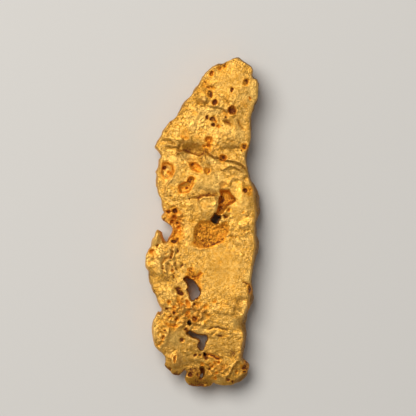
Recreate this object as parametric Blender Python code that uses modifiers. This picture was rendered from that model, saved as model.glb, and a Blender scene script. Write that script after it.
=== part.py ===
"""A natural gold nugget, about 33 mm long: one flat, worn slab of metal that lies on its back.

A flat sheet is cut to the nugget's plan, remeshed, and raised on both sides. The face that looks up gets
its lumps, ledges, creases and pits, and the back a rounded belly that stands on three worn feet.
Blender's units are metres, with +Z up. The plan and the relief are drawn in millimetres, with x to the
right and y towards the pointed end, and heights are above the surface that the nugget lies on.
"""

import bmesh
import bpy
import numpy as np
from mathutils import Vector, noise

MM = 0.001

# Driving dimensions, in millimetres.
RIM_HEIGHT = 1.60  # where the outline is widest
RIM_WAVE, RIM_WAVE_SIZE = 0.45, 4.0  # the rim's rise and fall
FACE_HEIGHT = 3.10  # the face by the rim, before its relief
CROWN, CROWN_REACH = 0.35, 3.0  # the face's rise towards the middle
BACK_HEIGHT = 0.34  # the belly before its relief
BEND, BEND_REACH = 0.55, 16.4  # how far both ends curl up, and how far out they are
LEAST_WALL = 0.6  # the thinnest metal, away from the rims
FACE_ROUNDING = 0.5  # how far in from the outline the face reaches its height
BACK_ROUNDING = 1.7
HOLE_ROUNDING = 0.16
SHEET_HALF = 0.3  # half the flat sheet's thickness
SHEET_VOXEL = 0.1
BODY_VOXEL = 0.12
MOST_TRIANGLES = 9950
FOOT_SNAP = 0.035  # points this low are on a worn foot
RUGGED, RUGGED_SIZE = 0.17, 1.5  # the lumps on the belly, and their size
WALL_RUGGED = 0.14  # the lumps on the steep sides, which mostly lie inwards

# The outline, from the pointed end down the right side and back up the left.
OUTLINE = [
    (3.44, 16.39), (3.75, 16.30), (4.07, 16.05), (4.44, 15.83), (4.85, 15.55), (5.07, 15.24), (5.10, 14.92),
    (5.05, 14.60), (5.16, 14.34), (5.35, 14.30), (5.53, 14.15), (5.65, 13.65), (5.62, 12.55), (5.53, 12.15),
    (5.25, 11.69), (5.16, 11.28), (5.03, 10.83), (4.89, 10.28), (4.87, 9.65), (4.96, 8.70), (4.85, 7.92),
    (4.62, 7.28), (4.48, 6.83), (4.44, 6.37), (4.53, 5.83), (4.75, 4.74), (4.89, 4.37), (5.16, 3.96),
    (5.44, 3.46), (5.62, 2.92), (5.66, 2.28), (5.80, 1.20), (5.66, 0.46), (5.46, -0.10), (5.53, -0.95),
    (5.60, -1.49), (5.71, -2.04), (5.66, -2.67), (5.39, -4.04), (5.12, -5.31), (5.00, -6.04), (5.03, -6.67),
    (5.10, -7.31), (5.05, -7.95), (4.85, -8.49), (4.62, -9.13), (4.39, -9.85), (4.30, -10.35), (4.44, -11.13),
    (4.48, -11.76), (4.35, -12.40), (4.30, -13.04), (4.21, -13.49), (4.39, -13.76), (4.66, -14.13),
    (4.78, -14.58), (4.66, -15.04), (4.39, -15.45), (3.98, -15.85), (3.44, -16.17), (2.89, -16.38),
    (1.98, -16.36), (1.32, -16.26), (1.14, -16.08), (1.00, -16.20), (0.82, -16.35), (0.35, -16.45),
    (-0.38, -16.49), (-1.02, -16.45), (-1.47, -16.22), (-1.70, -15.85), (-1.75, -15.49), (-1.56, -15.04),
    (-1.64, -14.81), (-1.77, -14.74), (-1.90, -14.88), (-2.02, -15.13), (-2.29, -15.38), (-2.75, -15.38),
    (-3.06, -15.17), (-3.25, -14.90), (-3.61, -14.63), (-3.84, -14.31), (-3.79, -13.95), (-3.73, -13.67),
    (-3.93, -13.35), (-4.25, -12.90), (-4.61, -12.54), (-4.84, -12.13), (-4.93, -11.67), (-4.99, -10.60),
    (-4.93, -9.85), (-4.70, -9.35), (-4.47, -8.98), (-4.33, -8.96), (-4.17, -9.12), (-3.99, -8.97),
    (-4.00, -8.67), (-4.25, -8.35), (-4.43, -7.99), (-4.70, -7.40), (-5.02, -6.95), (-5.06, -6.40),
    (-5.25, -5.95), (-5.29, -5.40), (-5.38, -4.95), (-5.61, -4.63), (-5.76, -4.22), (-5.76, -3.76),
    (-5.65, -3.26), (-5.43, -2.81), (-5.15, -2.35), (-5.02, -1.81), (-4.82, -1.35), (-4.75, -0.99),
    (-4.47, -0.69), (-4.13, -0.92), (-3.98, -1.06), (-3.93, -1.45), (-3.79, -1.85), (-3.60, -2.03),
    (-3.43, -1.97), (-3.36, -1.65), (-3.17, -1.24), (-3.07, -0.80), (-3.15, -0.54), (-3.47, -0.22),
    (-3.93, 0.15), (-4.09, 0.42), (-3.97, 0.69), (-3.74, 0.95), (-3.93, 1.19), (-4.06, 1.74), (-4.15, 2.28),
    (-4.43, 2.74), (-4.52, 3.19), (-4.61, 3.83), (-4.56, 4.46), (-4.67, 4.96), (-4.47, 5.28), (-4.34, 5.74),
    (-4.38, 6.15), (-4.16, 6.50), (-4.34, 6.92), (-4.61, 7.24), (-4.76, 7.46), (-4.70, 7.69), (-4.43, 8.15),
    (-4.15, 8.65), (-3.97, 9.10), (-3.56, 9.65), (-3.25, 10.02), (-2.86, 10.31), (-2.38, 11.01),
    (-2.11, 11.46), (-1.75, 12.01), (-1.25, 12.60), (-0.47, 13.55), (-0.20, 14.10), (0.16, 14.69),
    (0.66, 15.24), (1.07, 15.51), (1.62, 15.78), (2.10, 15.83), (2.27, 15.98), (2.89, 16.28),
]

# The holes that go right through: the eye, the long gap, the crooked gap and the small ones by it.
HOLES = [
    [(0.89, 0.22), (1.14, 0.58), (1.30, 0.84), (1.56, 0.66), (1.90, 0.60), (1.84, 0.36), (1.62, 0.10),
     (1.54, -0.16), (1.34, -0.19), (0.98, 0.00)],
    [(-1.80, -5.68), (-1.52, -5.53), (-1.20, -5.70), (-0.84, -5.90), (-0.56, -6.31), (-0.25, -6.67),
     (-0.18, -7.08), (-0.38, -7.42), (-0.75, -7.69), (-0.93, -7.86), (-1.11, -7.78), (-1.25, -7.40),
     (-1.38, -6.95), (-1.50, -6.76), (-1.33, -6.56), (-1.43, -6.22), (-1.62, -5.90)],
    [(-1.58, -11.08), (-1.36, -10.92), (-1.18, -10.88), (-0.84, -11.08), (-0.47, -11.29), (-0.11, -11.31),
     (0.46, -11.34), (0.54, -11.72), (0.36, -12.04), (0.30, -12.49), (0.07, -12.87), (-0.17, -12.76),
     (-0.40, -12.40), (-0.25, -12.04), (-0.29, -11.76), (-0.65, -11.60), (-1.02, -11.56), (-1.31, -11.35)],
    [(-1.42, -9.98), (-1.26, -9.90), (-1.12, -10.12), (-1.20, -10.30), (-1.34, -10.20)],
    [(0.10, -13.02), (0.24, -12.98), (0.40, -13.22), (0.34, -13.34), (0.18, -13.24)],
    [(-0.12, -14.64), (0.02, -14.62), (0.14, -14.90), (0.10, -15.28), (-0.06, -15.56), (-0.18, -15.50),
     (-0.06, -15.16), (-0.02, -14.90)],
]

# How wide the steep facet along the right edge is, at heights up the plan.
FACET_Y = [-16.4, -14.2, -13.4, -11.0, -10.2, -8.4, -7.3, -6.2, -4.2, -2.0, 2.0, 3.6, 4.6, 7.0, 13.0, 16.0]
FACET_WIDTH = [0.50, 0.45, 0.45, 0.35, 0.50, 0.35, 0.50, 0.25, 0.35, 0.50, 0.70, 0.45, 0.20, 0.22, 0.25, 0.40]
FACET_FROM_X, FACET_TO_X = 2.4, 3.8  # the facet takes over from the rounded rim between these

# Broad forms of the face: (x, y, half-length, half-width, turn in degrees, height). Hollows are negative.
FORMS = [
    (3.00, 13.60, 3.40, 3.20, 60, 0.16), (-1.40, 9.90, 3.20, 2.20, 50, 0.10),
    (2.60, 9.00, 2.60, 1.60, 0, 0.08), (-0.85, 7.50, 2.10, 1.25, -8, -0.80),
    (0.22, 11.86, 0.80, 0.52, 0, -0.30), (0.22, 12.12, 0.34, 0.30, 0, 0.16),
    (-0.60, 5.00, 2.80, 1.70, -10, 0.14), (-4.00, 3.20, 0.90, 3.40, 0, -0.30),
    (0.40, 1.50, 1.55, 1.25, 0, 0.18), (3.45, 2.80, 0.75, 2.10, 4, 0.20), (4.35, 0.00, 0.85, 1.15, 0, 0.14),
    (-2.55, -0.30, 1.20, 1.60, 0, -0.22), (-1.20, -1.30, 0.55, 1.30, 0, -0.14),
    (2.00, -4.00, 3.60, 2.40, 0, 0.10), (-4.70, -3.60, 1.30, 1.90, -10, 0.16),
    (-4.55, -1.60, 0.50, 1.10, -10, 0.16), (-3.20, -4.10, 1.10, 1.60, 10, -0.16),
    (-4.00, -5.10, 1.60, 0.65, 10, -0.20), (-3.40, -6.40, 1.60, 1.30, 0, 0.10),
    (3.80, -7.85, 1.10, 0.55, 0, -0.12), (3.90, -10.20, 0.80, 0.80, 0, -0.22),
    (1.80, -12.20, 2.00, 1.80, 0, 0.12), (-3.60, -11.30, 1.50, 1.90, 0, 0.12),
    (-2.70, -13.90, 0.75, 1.00, -15, 0.20), (4.05, -15.00, 1.20, 1.30, 40, -0.35),
    (-0.40, -15.60, 2.00, 1.10, 0, -0.20), (-1.00, -14.30, 1.60, 0.70, 0, -0.12),
    (0.00, -18.50, 8.00, 11.00, 0, -1.20), (0.20, 1.46, 1.50, 1.25, 0, 0.34),
    (3.40, 2.70, 0.70, 2.20, 0, 0.16), (-4.65, -1.70, 0.35, 0.80, 10, 0.20),
    (-2.75, -13.70, 0.60, 1.00, -10, 0.30), (-1.10, -9.90, 2.80, 1.70, -6, 0.12),
]

# Pits: (x, y, half-length, half-width, turn in degrees, depth).
PITS = [
    (0.96, 14.80, 0.34, 0.28, 90, 0.18), (1.73, 15.22, 0.28, 0.26, 0, 0.14),
    (4.39, 13.83, 0.34, 0.30, 0, 0.16), (2.95, 13.11, 0.27, 0.18, 90, 0.20),
    (0.80, 12.69, 0.38, 0.32, 20, 0.18), (1.35, 11.87, 0.34, 0.32, 0, 0.24),
    (3.00, 11.06, 0.46, 0.42, 0, 0.36), (2.45, 10.02, 0.50, 0.26, 0, 0.18),
    (1.05, 10.22, 0.34, 0.32, 0, 0.20), (1.10, 9.69, 0.27, 0.22, 0, 0.14),
    (0.67, 8.10, 0.38, 0.36, 0, 0.14), (4.20, 7.57, 0.32, 0.28, 0, 0.22), (2.05, 6.46, 0.44, 0.40, 0, 0.34),
    (-0.73, 5.50, 0.72, 0.36, -28, 0.32), (0.47, 5.03, 0.36, 0.32, 0, 0.14),
    (-1.72, 3.42, 0.62, 0.46, 35, 0.26), (-1.16, 4.02, 0.42, 0.32, 40, 0.34),
    (-3.55, 5.10, 0.80, 0.64, 70, 0.28), (-3.80, 5.43, 0.28, 0.26, 0, 0.30),
    (2.00, 3.70, 0.52, 0.44, 90, 0.30), (4.33, 3.13, 0.46, 0.32, 0, 0.36),
    (2.45, 2.25, 0.92, 0.72, 70, 0.80), (2.05, 1.45, 0.90, 0.46, 70, 0.75),
    (0.80, -0.85, 1.85, 1.40, -8, 0.72), (2.20, 0.05, 0.80, 0.62, 60, 0.40),
    (-3.30, 0.98, 0.55, 0.26, 0, 0.26), (-2.45, -0.18, 0.32, 0.26, 30, 0.28),
    (-2.80, -1.95, 0.42, 0.24, 0, 0.22), (-0.55, -5.25, 0.75, 0.45, -20, 0.35),
    (-2.20, -7.05, 0.42, 0.36, 60, 0.30), (-1.60, -8.10, 0.60, 0.34, -50, 0.22),
    (-2.80, -9.00, 0.30, 0.26, 0, 0.20), (-1.47, -9.10, 0.30, 0.24, 90, 0.22),
    (-0.70, -9.75, 0.34, 0.27, 90, 0.28), (-2.58, -9.66, 0.30, 0.20, 90, 0.20),
    (-2.80, -10.32, 0.50, 0.24, -10, 0.20), (-1.55, -10.72, 0.34, 0.26, 60, 0.40),
    (-0.55, -8.20, 0.60, 0.26, -15, 0.26), (-3.95, -11.50, 0.42, 0.18, 70, 0.16),
    (-3.33, -14.60, 0.27, 0.24, 0, 0.24), (-1.27, -15.24, 0.32, 0.22, 20, 0.26),
    (-0.22, -15.76, 0.28, 0.18, 70, 0.35), (4.27, -14.72, 0.44, 0.36, 0, 0.28),
    (2.75, -15.92, 0.46, 0.22, 0, 0.18), (0.52, -13.58, 0.42, 0.16, -55, 0.40),
]

# Ledges: (height, how far the step fades out, points). The ground to the left of the line stands higher.
LEDGES = [
    (0.30, 1.2, [(0.6, 10.9), (0.2, 11.3), (0.9, 11.5), (1.9, 11.5), (2.5, 11.0), (3.2, 10.5), (4.2, 10.6)]),
    (0.28, 1.4, [(-4.3, 8.05), (-3.5, 8.1), (-2.7, 7.75), (-2.1, 7.7), (-1.7, 8.3), (-0.4, 8.3), (0.8, 7.6)]),
    (0.34, 1.5, [(0.4, 6.0), (-0.3, 6.3), (-1.2, 6.85), (-2.6, 6.95), (-2.75, 6.1), (-2.7, 4.9), (-3.25, 4.2),
                 (-3.7, 3.3), (-3.85, 2.3), (-3.95, 1.3)]),
    (0.34, 1.5, [(-0.2, 6.9), (1.0, 6.6), (1.8, 6.2), (3.1, 6.05), (4.1, 5.7), (4.65, 4.9)]),
    (0.16, 1.0, [(2.1, 5.1), (2.8, 5.2), (3.3, 5.4), (4.0, 5.1)]),
    (0.24, 1.3, [(-1.4, 2.35), (-0.3, 2.6), (0.9, 2.55), (1.7, 2.6)]),
    (0.24, 1.1, [(-3.0, -2.3), (-3.1, -3.4), (-3.7, -4.0), (-3.95, -4.6), (-3.7, -5.2)]),
    (0.14, 1.2, [(1.6, -9.05), (2.6, -9.2), (3.0, -9.4), (3.05, -8.5)]),
    (0.26, 1.4, [(3.9, -13.4), (3.6, -14.1), (3.0, -14.7), (2.6, -15.3), (2.2, -15.8)]),
]

# Creases: (depth, half-width, points).
CREASES = [
    (0.18, 0.12, [(0.35, 2.75), (0.9, 2.75), (1.65, 2.65)]),
    (0.16, 0.11, [(-1.3, 2.3), (-0.6, 2.55), (0.1, 2.6)]),
    (0.14, 0.12, [(-3.9, 7.5), (-3.0, 7.3), (-2.4, 7.45), (-2.1, 7.8)]),
    (0.14, 0.12, [(2.5, -7.3), (3.1, -7.45), (4.5, -7.4)]),
    (0.14, 0.10, [(0.5, -10.8), (1.6, -10.45), (2.8, -10.7)]),
    (0.12, 0.10, [(1.2, -11.2), (1.8, -11.35), (2.7, -11.45)]),
    (0.18, 0.12, [(0.45, -13.3), (1.2, -13.5), (1.75, -13.75)]),
    (0.16, 0.12, [(-2.65, -7.5), (-2.4, -8.0), (-2.2, -8.4)]),
    (0.12, 0.12, [(-3.7, -9.8), (-3.3, -10.3), (-2.6, -10.7)]),
]
GRAIN = 0.055  # the face's uneven ground: how high it swells
GRAIN_SIZE = 0.55

# The belly: the same kinds of form, in depth below or above BACK_HEIGHT. Hollows are positive here.
BACK_FORMS = [
    (2.60, 12.40, 2.20, 2.60, 0, 0.35), (-2.20, 8.60, 1.80, 2.40, -40, 0.40),
    (3.30, 5.60, 1.60, 2.80, 0, 0.32), (-2.90, 3.40, 1.70, 2.60, 0, 0.42),
    (0.60, 2.40, 2.00, 1.40, 20, -0.18), (4.20, -1.40, 1.40, 3.20, 0, 0.44),
    (-3.80, -3.60, 1.60, 2.40, 0, 0.55), (0.60, -3.80, 2.20, 1.60, -30, -0.16),
    (3.60, -6.60, 1.20, 1.40, 0, 0.26), (-1.20, -14.40, 2.20, 1.60, 0, 0.50),
    (3.90, -14.80, 1.30, 1.40, 0, 0.50), (0.40, 6.20, 1.40, 1.00, 10, 0.20),
]
# The worn feet: (x, y, half-length, half-width, turn in degrees, how far they would pass the ground).
FEET = [
    (1.90, 9.60, 3.60, 2.60, 70, 0.75), (-2.30, 3.00, 3.00, 2.00, 80, 0.52),
    (-2.90, -8.60, 3.20, 2.40, 20, 0.72), (2.70, -8.20, 3.40, 2.40, -60, 0.70),
]
BACK_PITS = [
    (2.90, 13.90, 0.50, 0.40, 20, 0.24), (-0.60, 8.60, 0.46, 0.32, 60, 0.22),
    (3.30, 8.00, 0.60, 0.36, -30, 0.26), (-2.20, 5.60, 0.44, 0.40, 0, 0.24),
    (1.60, 4.60, 0.40, 0.30, 10, 0.20), (-1.60, 1.60, 0.66, 0.40, 35, 0.28),
    (3.90, 1.60, 0.42, 0.36, 0, 0.24), (1.20, -2.20, 0.52, 0.44, -20, 0.26),
    (-3.40, -1.90, 0.40, 0.30, 70, 0.22), (3.10, -4.60, 0.70, 0.42, 15, 0.28),
    (-0.20, -4.20, 0.38, 0.32, 0, 0.20), (-3.40, -6.40, 0.46, 0.40, 0, 0.24),
    (0.60, -8.20, 0.60, 0.34, 50, 0.26), (-3.40, -12.00, 0.44, 0.36, 0, 0.24),
    (1.60, -14.20, 0.54, 0.36, -15, 0.24),
]
BACK_GRAIN = 0.075
BACK_GRAIN_SIZE = 0.8
GOLD = (0.80, 0.53, 0.17, 1.0)


def smooth_ring(points, steps=3):
    """The closed line through the points, with steps points to each stretch, as a Catmull-Rom curve."""
    now = np.array(points)
    before, after, last = np.roll(now, 1, 0), np.roll(now, -1, 0), np.roll(now, -2, 0)
    rows = []
    for t in np.arange(steps) / steps:
        bend = 2 * before - 5 * now + 4 * after - last
        twist = 3 * now - before - 3 * after + last
        rows.append(now + 0.5 * t * (after - before + t * (bend + t * twist)))
    return np.stack(rows, axis=1).reshape(-1, 2)


def to_segment(plan, start, end):
    """Each plan point's distance to a stretch, its side of it (positive on the left) and how far along."""
    along = end - start
    share = np.clip((plan - start) @ along / (along @ along), 0, 1)
    away = plan - start - share[:, None] * along
    side = along[0] * away[:, 1] - along[1] * away[:, 0]
    return np.hypot(away[:, 0], away[:, 1]), side, share


def ring_distance(plan, ring):
    nearest = np.full(len(plan), np.inf)
    for start, end in zip(ring, np.roll(ring, -1, axis=0)):
        nearest = np.minimum(nearest, to_segment(plan, start, end)[0])
    return nearest


def line_distance(plan, points):
    """Each plan point's signed distance to an open line, and a share that falls to 0 at the line's ends."""
    line = np.array(points)
    nearest = np.full(len(plan), np.inf)
    side = np.zeros(len(plan))
    place = np.zeros(len(plan))
    for i, (start, end) in enumerate(zip(line[:-1], line[1:])):
        distance, across, share = to_segment(plan, start, end)
        closer = distance < nearest
        nearest = np.where(closer, distance, nearest)
        side = np.where(closer, across, side)
        place = np.where(closer, i + share, place)
    ends = np.clip(np.minimum(place, len(line) - 1 - place) * 2, 0, 1)
    return np.where(side >= 0, nearest, -nearest), ends


def smooth_step(value):
    t = np.clip(value, 0, 1)
    return t * t * (3 - 2 * t)


def rounded(value):
    """A quarter circle's rise, from 0 to 1."""
    return np.sqrt(1 - (1 - np.clip(value, 0, 1)) ** 2)


def ellipse_radius(plan, x, y, length, width, turn):
    """Each plan point's distance to the centre of a turned ellipse, as a share of the ellipse's size."""
    c, s = np.cos(np.radians(turn)), np.sin(np.radians(turn))
    u, v = plan[:, 0] - x, plan[:, 1] - y
    return np.hypot((u * c + v * s) / length, (v * c - u * s) / width)


def dome(plan, x, y, length, width, turn, height):
    return height * np.clip(1 - ellipse_radius(plan, x, y, length, width, turn) ** 2, 0, 1) ** 2


def pit(plan, x, y, length, width, turn, depth):
    """A bowl with steep sides and a slightly raised lip."""
    radius = ellipse_radius(plan, x, y, length, width, turn)
    bowl = np.clip(1 - radius**2, 0, 1) ** 0.7
    lip = np.exp(-(((radius - 1.15) / 0.22) ** 2))
    return depth * (0.12 * lip - bowl)


def ledge(plan, height, fade, points):
    away, ends = line_distance(plan, points)
    return ends * height * smooth_step(away / 0.2 + 0.4) * np.exp(-np.maximum(away, 0) / fade)


def crease(plan, depth, width, points):
    away, ends = line_distance(plan, points)
    return -ends * depth * np.exp(-((away / width) ** 2))


def swell(plan, size, seed, octaves=3):
    """Soft uneven ground, from about -1 to 1."""
    places = (Vector((x / size, y / size, seed)) for x, y in plan)
    return np.array([noise.fractal(p, 1.0, 2.0, octaves) for p in places])


def face_heights(plan, outer):
    height = FACE_HEIGHT + CROWN * smooth_step(outer / CROWN_REACH) + bend(plan)
    height += GRAIN * swell(plan, GRAIN_SIZE, 3.0)
    height += sum(dome(plan, *form) for form in FORMS)
    height += sum(ledge(plan, *one) for one in LEDGES)
    height += sum(crease(plan, *one) for one in CREASES)
    return height + sum(pit(plan, *one) for one in PITS)


def back_heights(plan):
    height = BACK_HEIGHT + bend(plan) + BACK_GRAIN * swell(plan, BACK_GRAIN_SIZE, 8.0)
    height += sum(dome(plan, *form) for form in BACK_FORMS)
    height -= sum(pit(plan, *one) for one in BACK_PITS)
    height -= sum(dome(plan, *foot) for foot in FEET)
    return np.maximum(height, 0)


def bend(plan):
    return BEND * (plan[:, 1] / BEND_REACH) ** 2


def facet_share(plan):
    return smooth_step((plan[:, 0] - FACET_FROM_X) / (FACET_TO_X - FACET_FROM_X))


def raised_heights(plan, rims):
    """The heights of the upper and the lower surface at each plan point."""
    outer = ring_distance(plan, rims[0])
    hole = np.min([ring_distance(plan, rim) for rim in rims[1:]], axis=0)
    facet = facet_share(plan)
    width = np.interp(plan[:, 1], FACET_Y, FACET_WIDTH)
    sloped = smooth_step(0.5 + outer / width / 2) * 2 - 1
    face_rise = facet * sloped + (1 - facet) * rounded(outer / FACE_ROUNDING)
    face_rise *= rounded(hole / HOLE_ROUNDING)
    back_rise = rounded(outer / BACK_ROUNDING) * rounded(hole / HOLE_ROUNDING)
    rim = RIM_HEIGHT + bend(plan) + RIM_WAVE * swell(plan, RIM_WAVE_SIZE, 5.0, octaves=1)
    low = rim - back_rise * (rim - back_heights(plan))
    face = np.maximum(face_heights(plan, outer), low + LEAST_WALL)
    return rim + face_rise * (face - rim), low


def evaluated_mesh(obj):
    graph = bpy.context.evaluated_depsgraph_get()
    return bpy.data.meshes.new_from_object(obj.evaluated_get(graph))


def with_modifier(obj, kind, **settings):
    """Replaces the object's mesh by what one modifier makes of it."""
    modifier = obj.modifiers.new(kind.title(), kind)
    for name, value in settings.items():
        setattr(modifier, name, value)
    made = evaluated_mesh(obj)
    obj.modifiers.clear()
    obj.data = made


def flat_sheet(collection, rims):
    """The plan as a flat sheet with its holes, as a mesh object."""
    curve = bpy.data.curves.new("plan", "CURVE")
    curve.dimensions = "2D"
    curve.fill_mode = "BOTH"
    curve.extrude = SHEET_HALF * MM
    for rim in rims:
        spline = curve.splines.new("POLY")
        spline.points.add(len(rim) - 1)
        for point, (x, y) in zip(spline.points, rim * MM):
            point.co = (x, y, 0, 1)
        spline.use_cyclic_u = True
    drawn = bpy.data.objects.new("plan", curve)
    collection.objects.link(drawn)
    sheet = bpy.data.objects.new("nugget", evaluated_mesh(drawn))
    collection.objects.link(sheet)
    bpy.data.objects.remove(drawn)
    weld(sheet.data)
    return sheet


def weld(mesh):
    """Joins the sheet's two flat sides to its edge."""
    work = bmesh.new()
    work.from_mesh(mesh)
    bmesh.ops.remove_doubles(work, verts=work.verts, dist=0.001 * MM)
    bmesh.ops.recalc_face_normals(work, faces=work.faces)
    work.to_mesh(mesh)
    work.free()


def points_of(mesh):
    flat = np.empty(len(mesh.vertices) * 3)
    mesh.vertices.foreach_get("co", flat)
    return flat.reshape(-1, 3) / MM


def normals_of(mesh):
    flat = np.empty(len(mesh.vertices) * 3)
    mesh.vertices.foreach_get("normal", flat)
    return flat.reshape(-1, 3)


def move_points(mesh, points):
    mesh.vertices.foreach_set("co", (points * MM).ravel())
    mesh.update()


def island(start):
    """All the vertices that edges join to this one."""
    found = {start}
    front = [start]
    while front:
        near = {edge.other_vert(vert) for vert in front for edge in vert.link_edges}
        front = near - found
        found |= front
    return found


def drop_specks(mesh):
    """Keeps the body, without the specks that remeshing can leave in a narrow pit."""
    work = bmesh.new()
    work.from_mesh(mesh)
    left = set(work.verts)
    islands = []
    while left:
        islands.append(island(next(iter(left))))
        left -= islands[-1]
    islands.sort(key=len)
    for speck in islands[:-1]:
        bmesh.ops.delete(work, geom=list(speck), context="VERTS")
    work.to_mesh(mesh)
    work.free()


def raise_sheet(sheet, rims):
    """Turns the flat sheet into the nugget's two surfaces."""
    points = points_of(sheet.data)
    high, low = raised_heights(points[:, :2], rims)
    share = np.clip(points[:, 2] / SHEET_HALF, -1, 1) / 2 + 0.5
    points[:, 2] = low + share * (high - low)
    move_points(sheet.data, points)


def rugged(points, normals):
    """How far each point of the belly and of the steep sides moves out. The face keeps its place."""
    rim = RIM_HEIGHT + bend(points[:, :2])
    below = RUGGED * smooth_step((rim - points[:, 2]) / 0.6)
    steep = WALL_RUGGED * smooth_step((0.8 - np.abs(normals[:, 2])) / 0.4)
    values = np.zeros(len(points))
    for i in np.flatnonzero(below + steep):
        swelling = noise.fractal(Vector(points[i] / RUGGED_SIZE), 0.8, 2.0, 2)
        values[i] = below[i] * swelling + steep[i] * (swelling - 0.3)
    return values


def roughen(mesh):
    points = points_of(mesh)
    normals = normals_of(mesh)
    points += normals * rugged(points, normals)[:, None]
    points[:, 2] = np.maximum(points[:, 2], 0)
    move_points(mesh, points)


def settle(mesh):
    """Sets the worn feet flat on the ground, and the origin in the middle of the nugget's footprint."""
    points = points_of(mesh)
    points[:, 2] = np.where(points[:, 2] < FOOT_SNAP, 0, points[:, 2])
    low, high = points.min(axis=0), points.max(axis=0)
    points[:, :2] -= (low + high)[:2] / 2
    move_points(mesh, points)


def simplify(nugget):
    triangles = 2 * len(nugget.data.polygons)
    with_modifier(nugget, "DECIMATE", ratio=MOST_TRIANGLES / triangles)


def gold():
    material = bpy.data.materials.new("gold")
    material.use_nodes = True
    shader = material.node_tree.nodes["Principled BSDF"]
    shader.inputs["Base Color"].default_value = GOLD
    shader.inputs["Metallic"].default_value = 1.0
    shader.inputs["Roughness"].default_value = 0.42
    return material


def build_nugget(collection):
    rims = [smooth_ring(ring) for ring in [OUTLINE, *HOLES]]
    nugget = flat_sheet(collection, rims)
    with_modifier(nugget, "REMESH", mode="VOXEL", voxel_size=SHEET_VOXEL * MM)
    raise_sheet(nugget, rims)
    with_modifier(nugget, "REMESH", mode="VOXEL", voxel_size=BODY_VOXEL * MM)
    drop_specks(nugget.data)
    roughen(nugget.data)
    simplify(nugget)
    settle(nugget.data)
    nugget.data.materials.clear()
    nugget.data.materials.append(gold())
    nugget.data.shade_smooth()


for old in list(bpy.data.objects):
    bpy.data.objects.remove(old)
home = bpy.data.collections.new("gold_nugget")
bpy.context.scene.collection.children.link(home)
build_nugget(home)
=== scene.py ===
"""The gold nugget's fine surface, its material, the light and the camera.

The outline and the holes are drawn as one flat sheet, which is raised into two surfaces and remeshed in
one piece. Its features are real relief. Most of them also stain the metal, and many paint shade on it;
the stains, the painted shade and the painted light are kept as attributes for the material to read.

Small features are placed on a drawing sheet 41.6 mm square, in tenths of a millimetre to the right and
down from its top left corner. An oval's row starts with x, y, half-length and half-width. It ends with a
turn in degrees where the oval is turned: clockwise on the sheet, and anticlockwise in the plan.
"""

import bmesh
import bpy
import numpy as np
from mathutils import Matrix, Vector, noise


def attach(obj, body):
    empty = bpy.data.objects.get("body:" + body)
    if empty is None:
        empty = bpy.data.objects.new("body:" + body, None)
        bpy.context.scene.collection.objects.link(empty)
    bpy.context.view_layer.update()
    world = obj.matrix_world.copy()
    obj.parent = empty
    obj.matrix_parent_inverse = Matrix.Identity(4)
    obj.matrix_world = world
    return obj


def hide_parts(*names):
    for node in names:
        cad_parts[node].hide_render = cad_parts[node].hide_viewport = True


MM = 0.001
SHEET_ORIGIN = (202.0, 221.0)  # where the plan's zero is on the drawing sheet
SHEET_SCALE = (10, -10)  # the sheet's units in a millimetre

# Driving dimensions, in millimetres.
RIM_HEIGHT = 1.60  # where the outline is widest
RIM_WAVE, RIM_WAVE_SIZE = 0.45, 4.0  # the rim's rise and fall
FACE_HEIGHT = 3.32  # the face by the rim, before its relief
CROWN, CROWN_REACH = 0.09, 1.8  # the face's rise towards the middle
BACK_HEIGHT = 0.34  # the belly before its relief
BEND, BEND_REACH = 0.55, 16.4  # how far both ends curl up, and how far out they are
LEAST_WALL = 0.6  # the thinnest metal, away from the rims
FACE_ROUNDING = 0.16  # how far in from the outline the face reaches its height
BACK_ROUNDING = 1.7
HOLE_ROUNDING = 0.06
SHEET_HALF = 0.3  # half the flat sheet's thickness
FOOT_SNAP = 0.02  # points this low are on a worn foot
RUGGED, RUGGED_SIZE = 0.17, 1.5  # the lumps on the belly, and their size
WALL_RUGGED = 0.14  # the lumps on the steep sides, which mostly lie inwards
SHEET_VOXEL = 0.075
BODY_VOXEL = 0.08
MOST_TRIANGLES = 196000
MOST_CURVED, CURVATURE_SMOOTHING = 8, 2  # an edge's limit, and the rounds of smoothing

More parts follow.
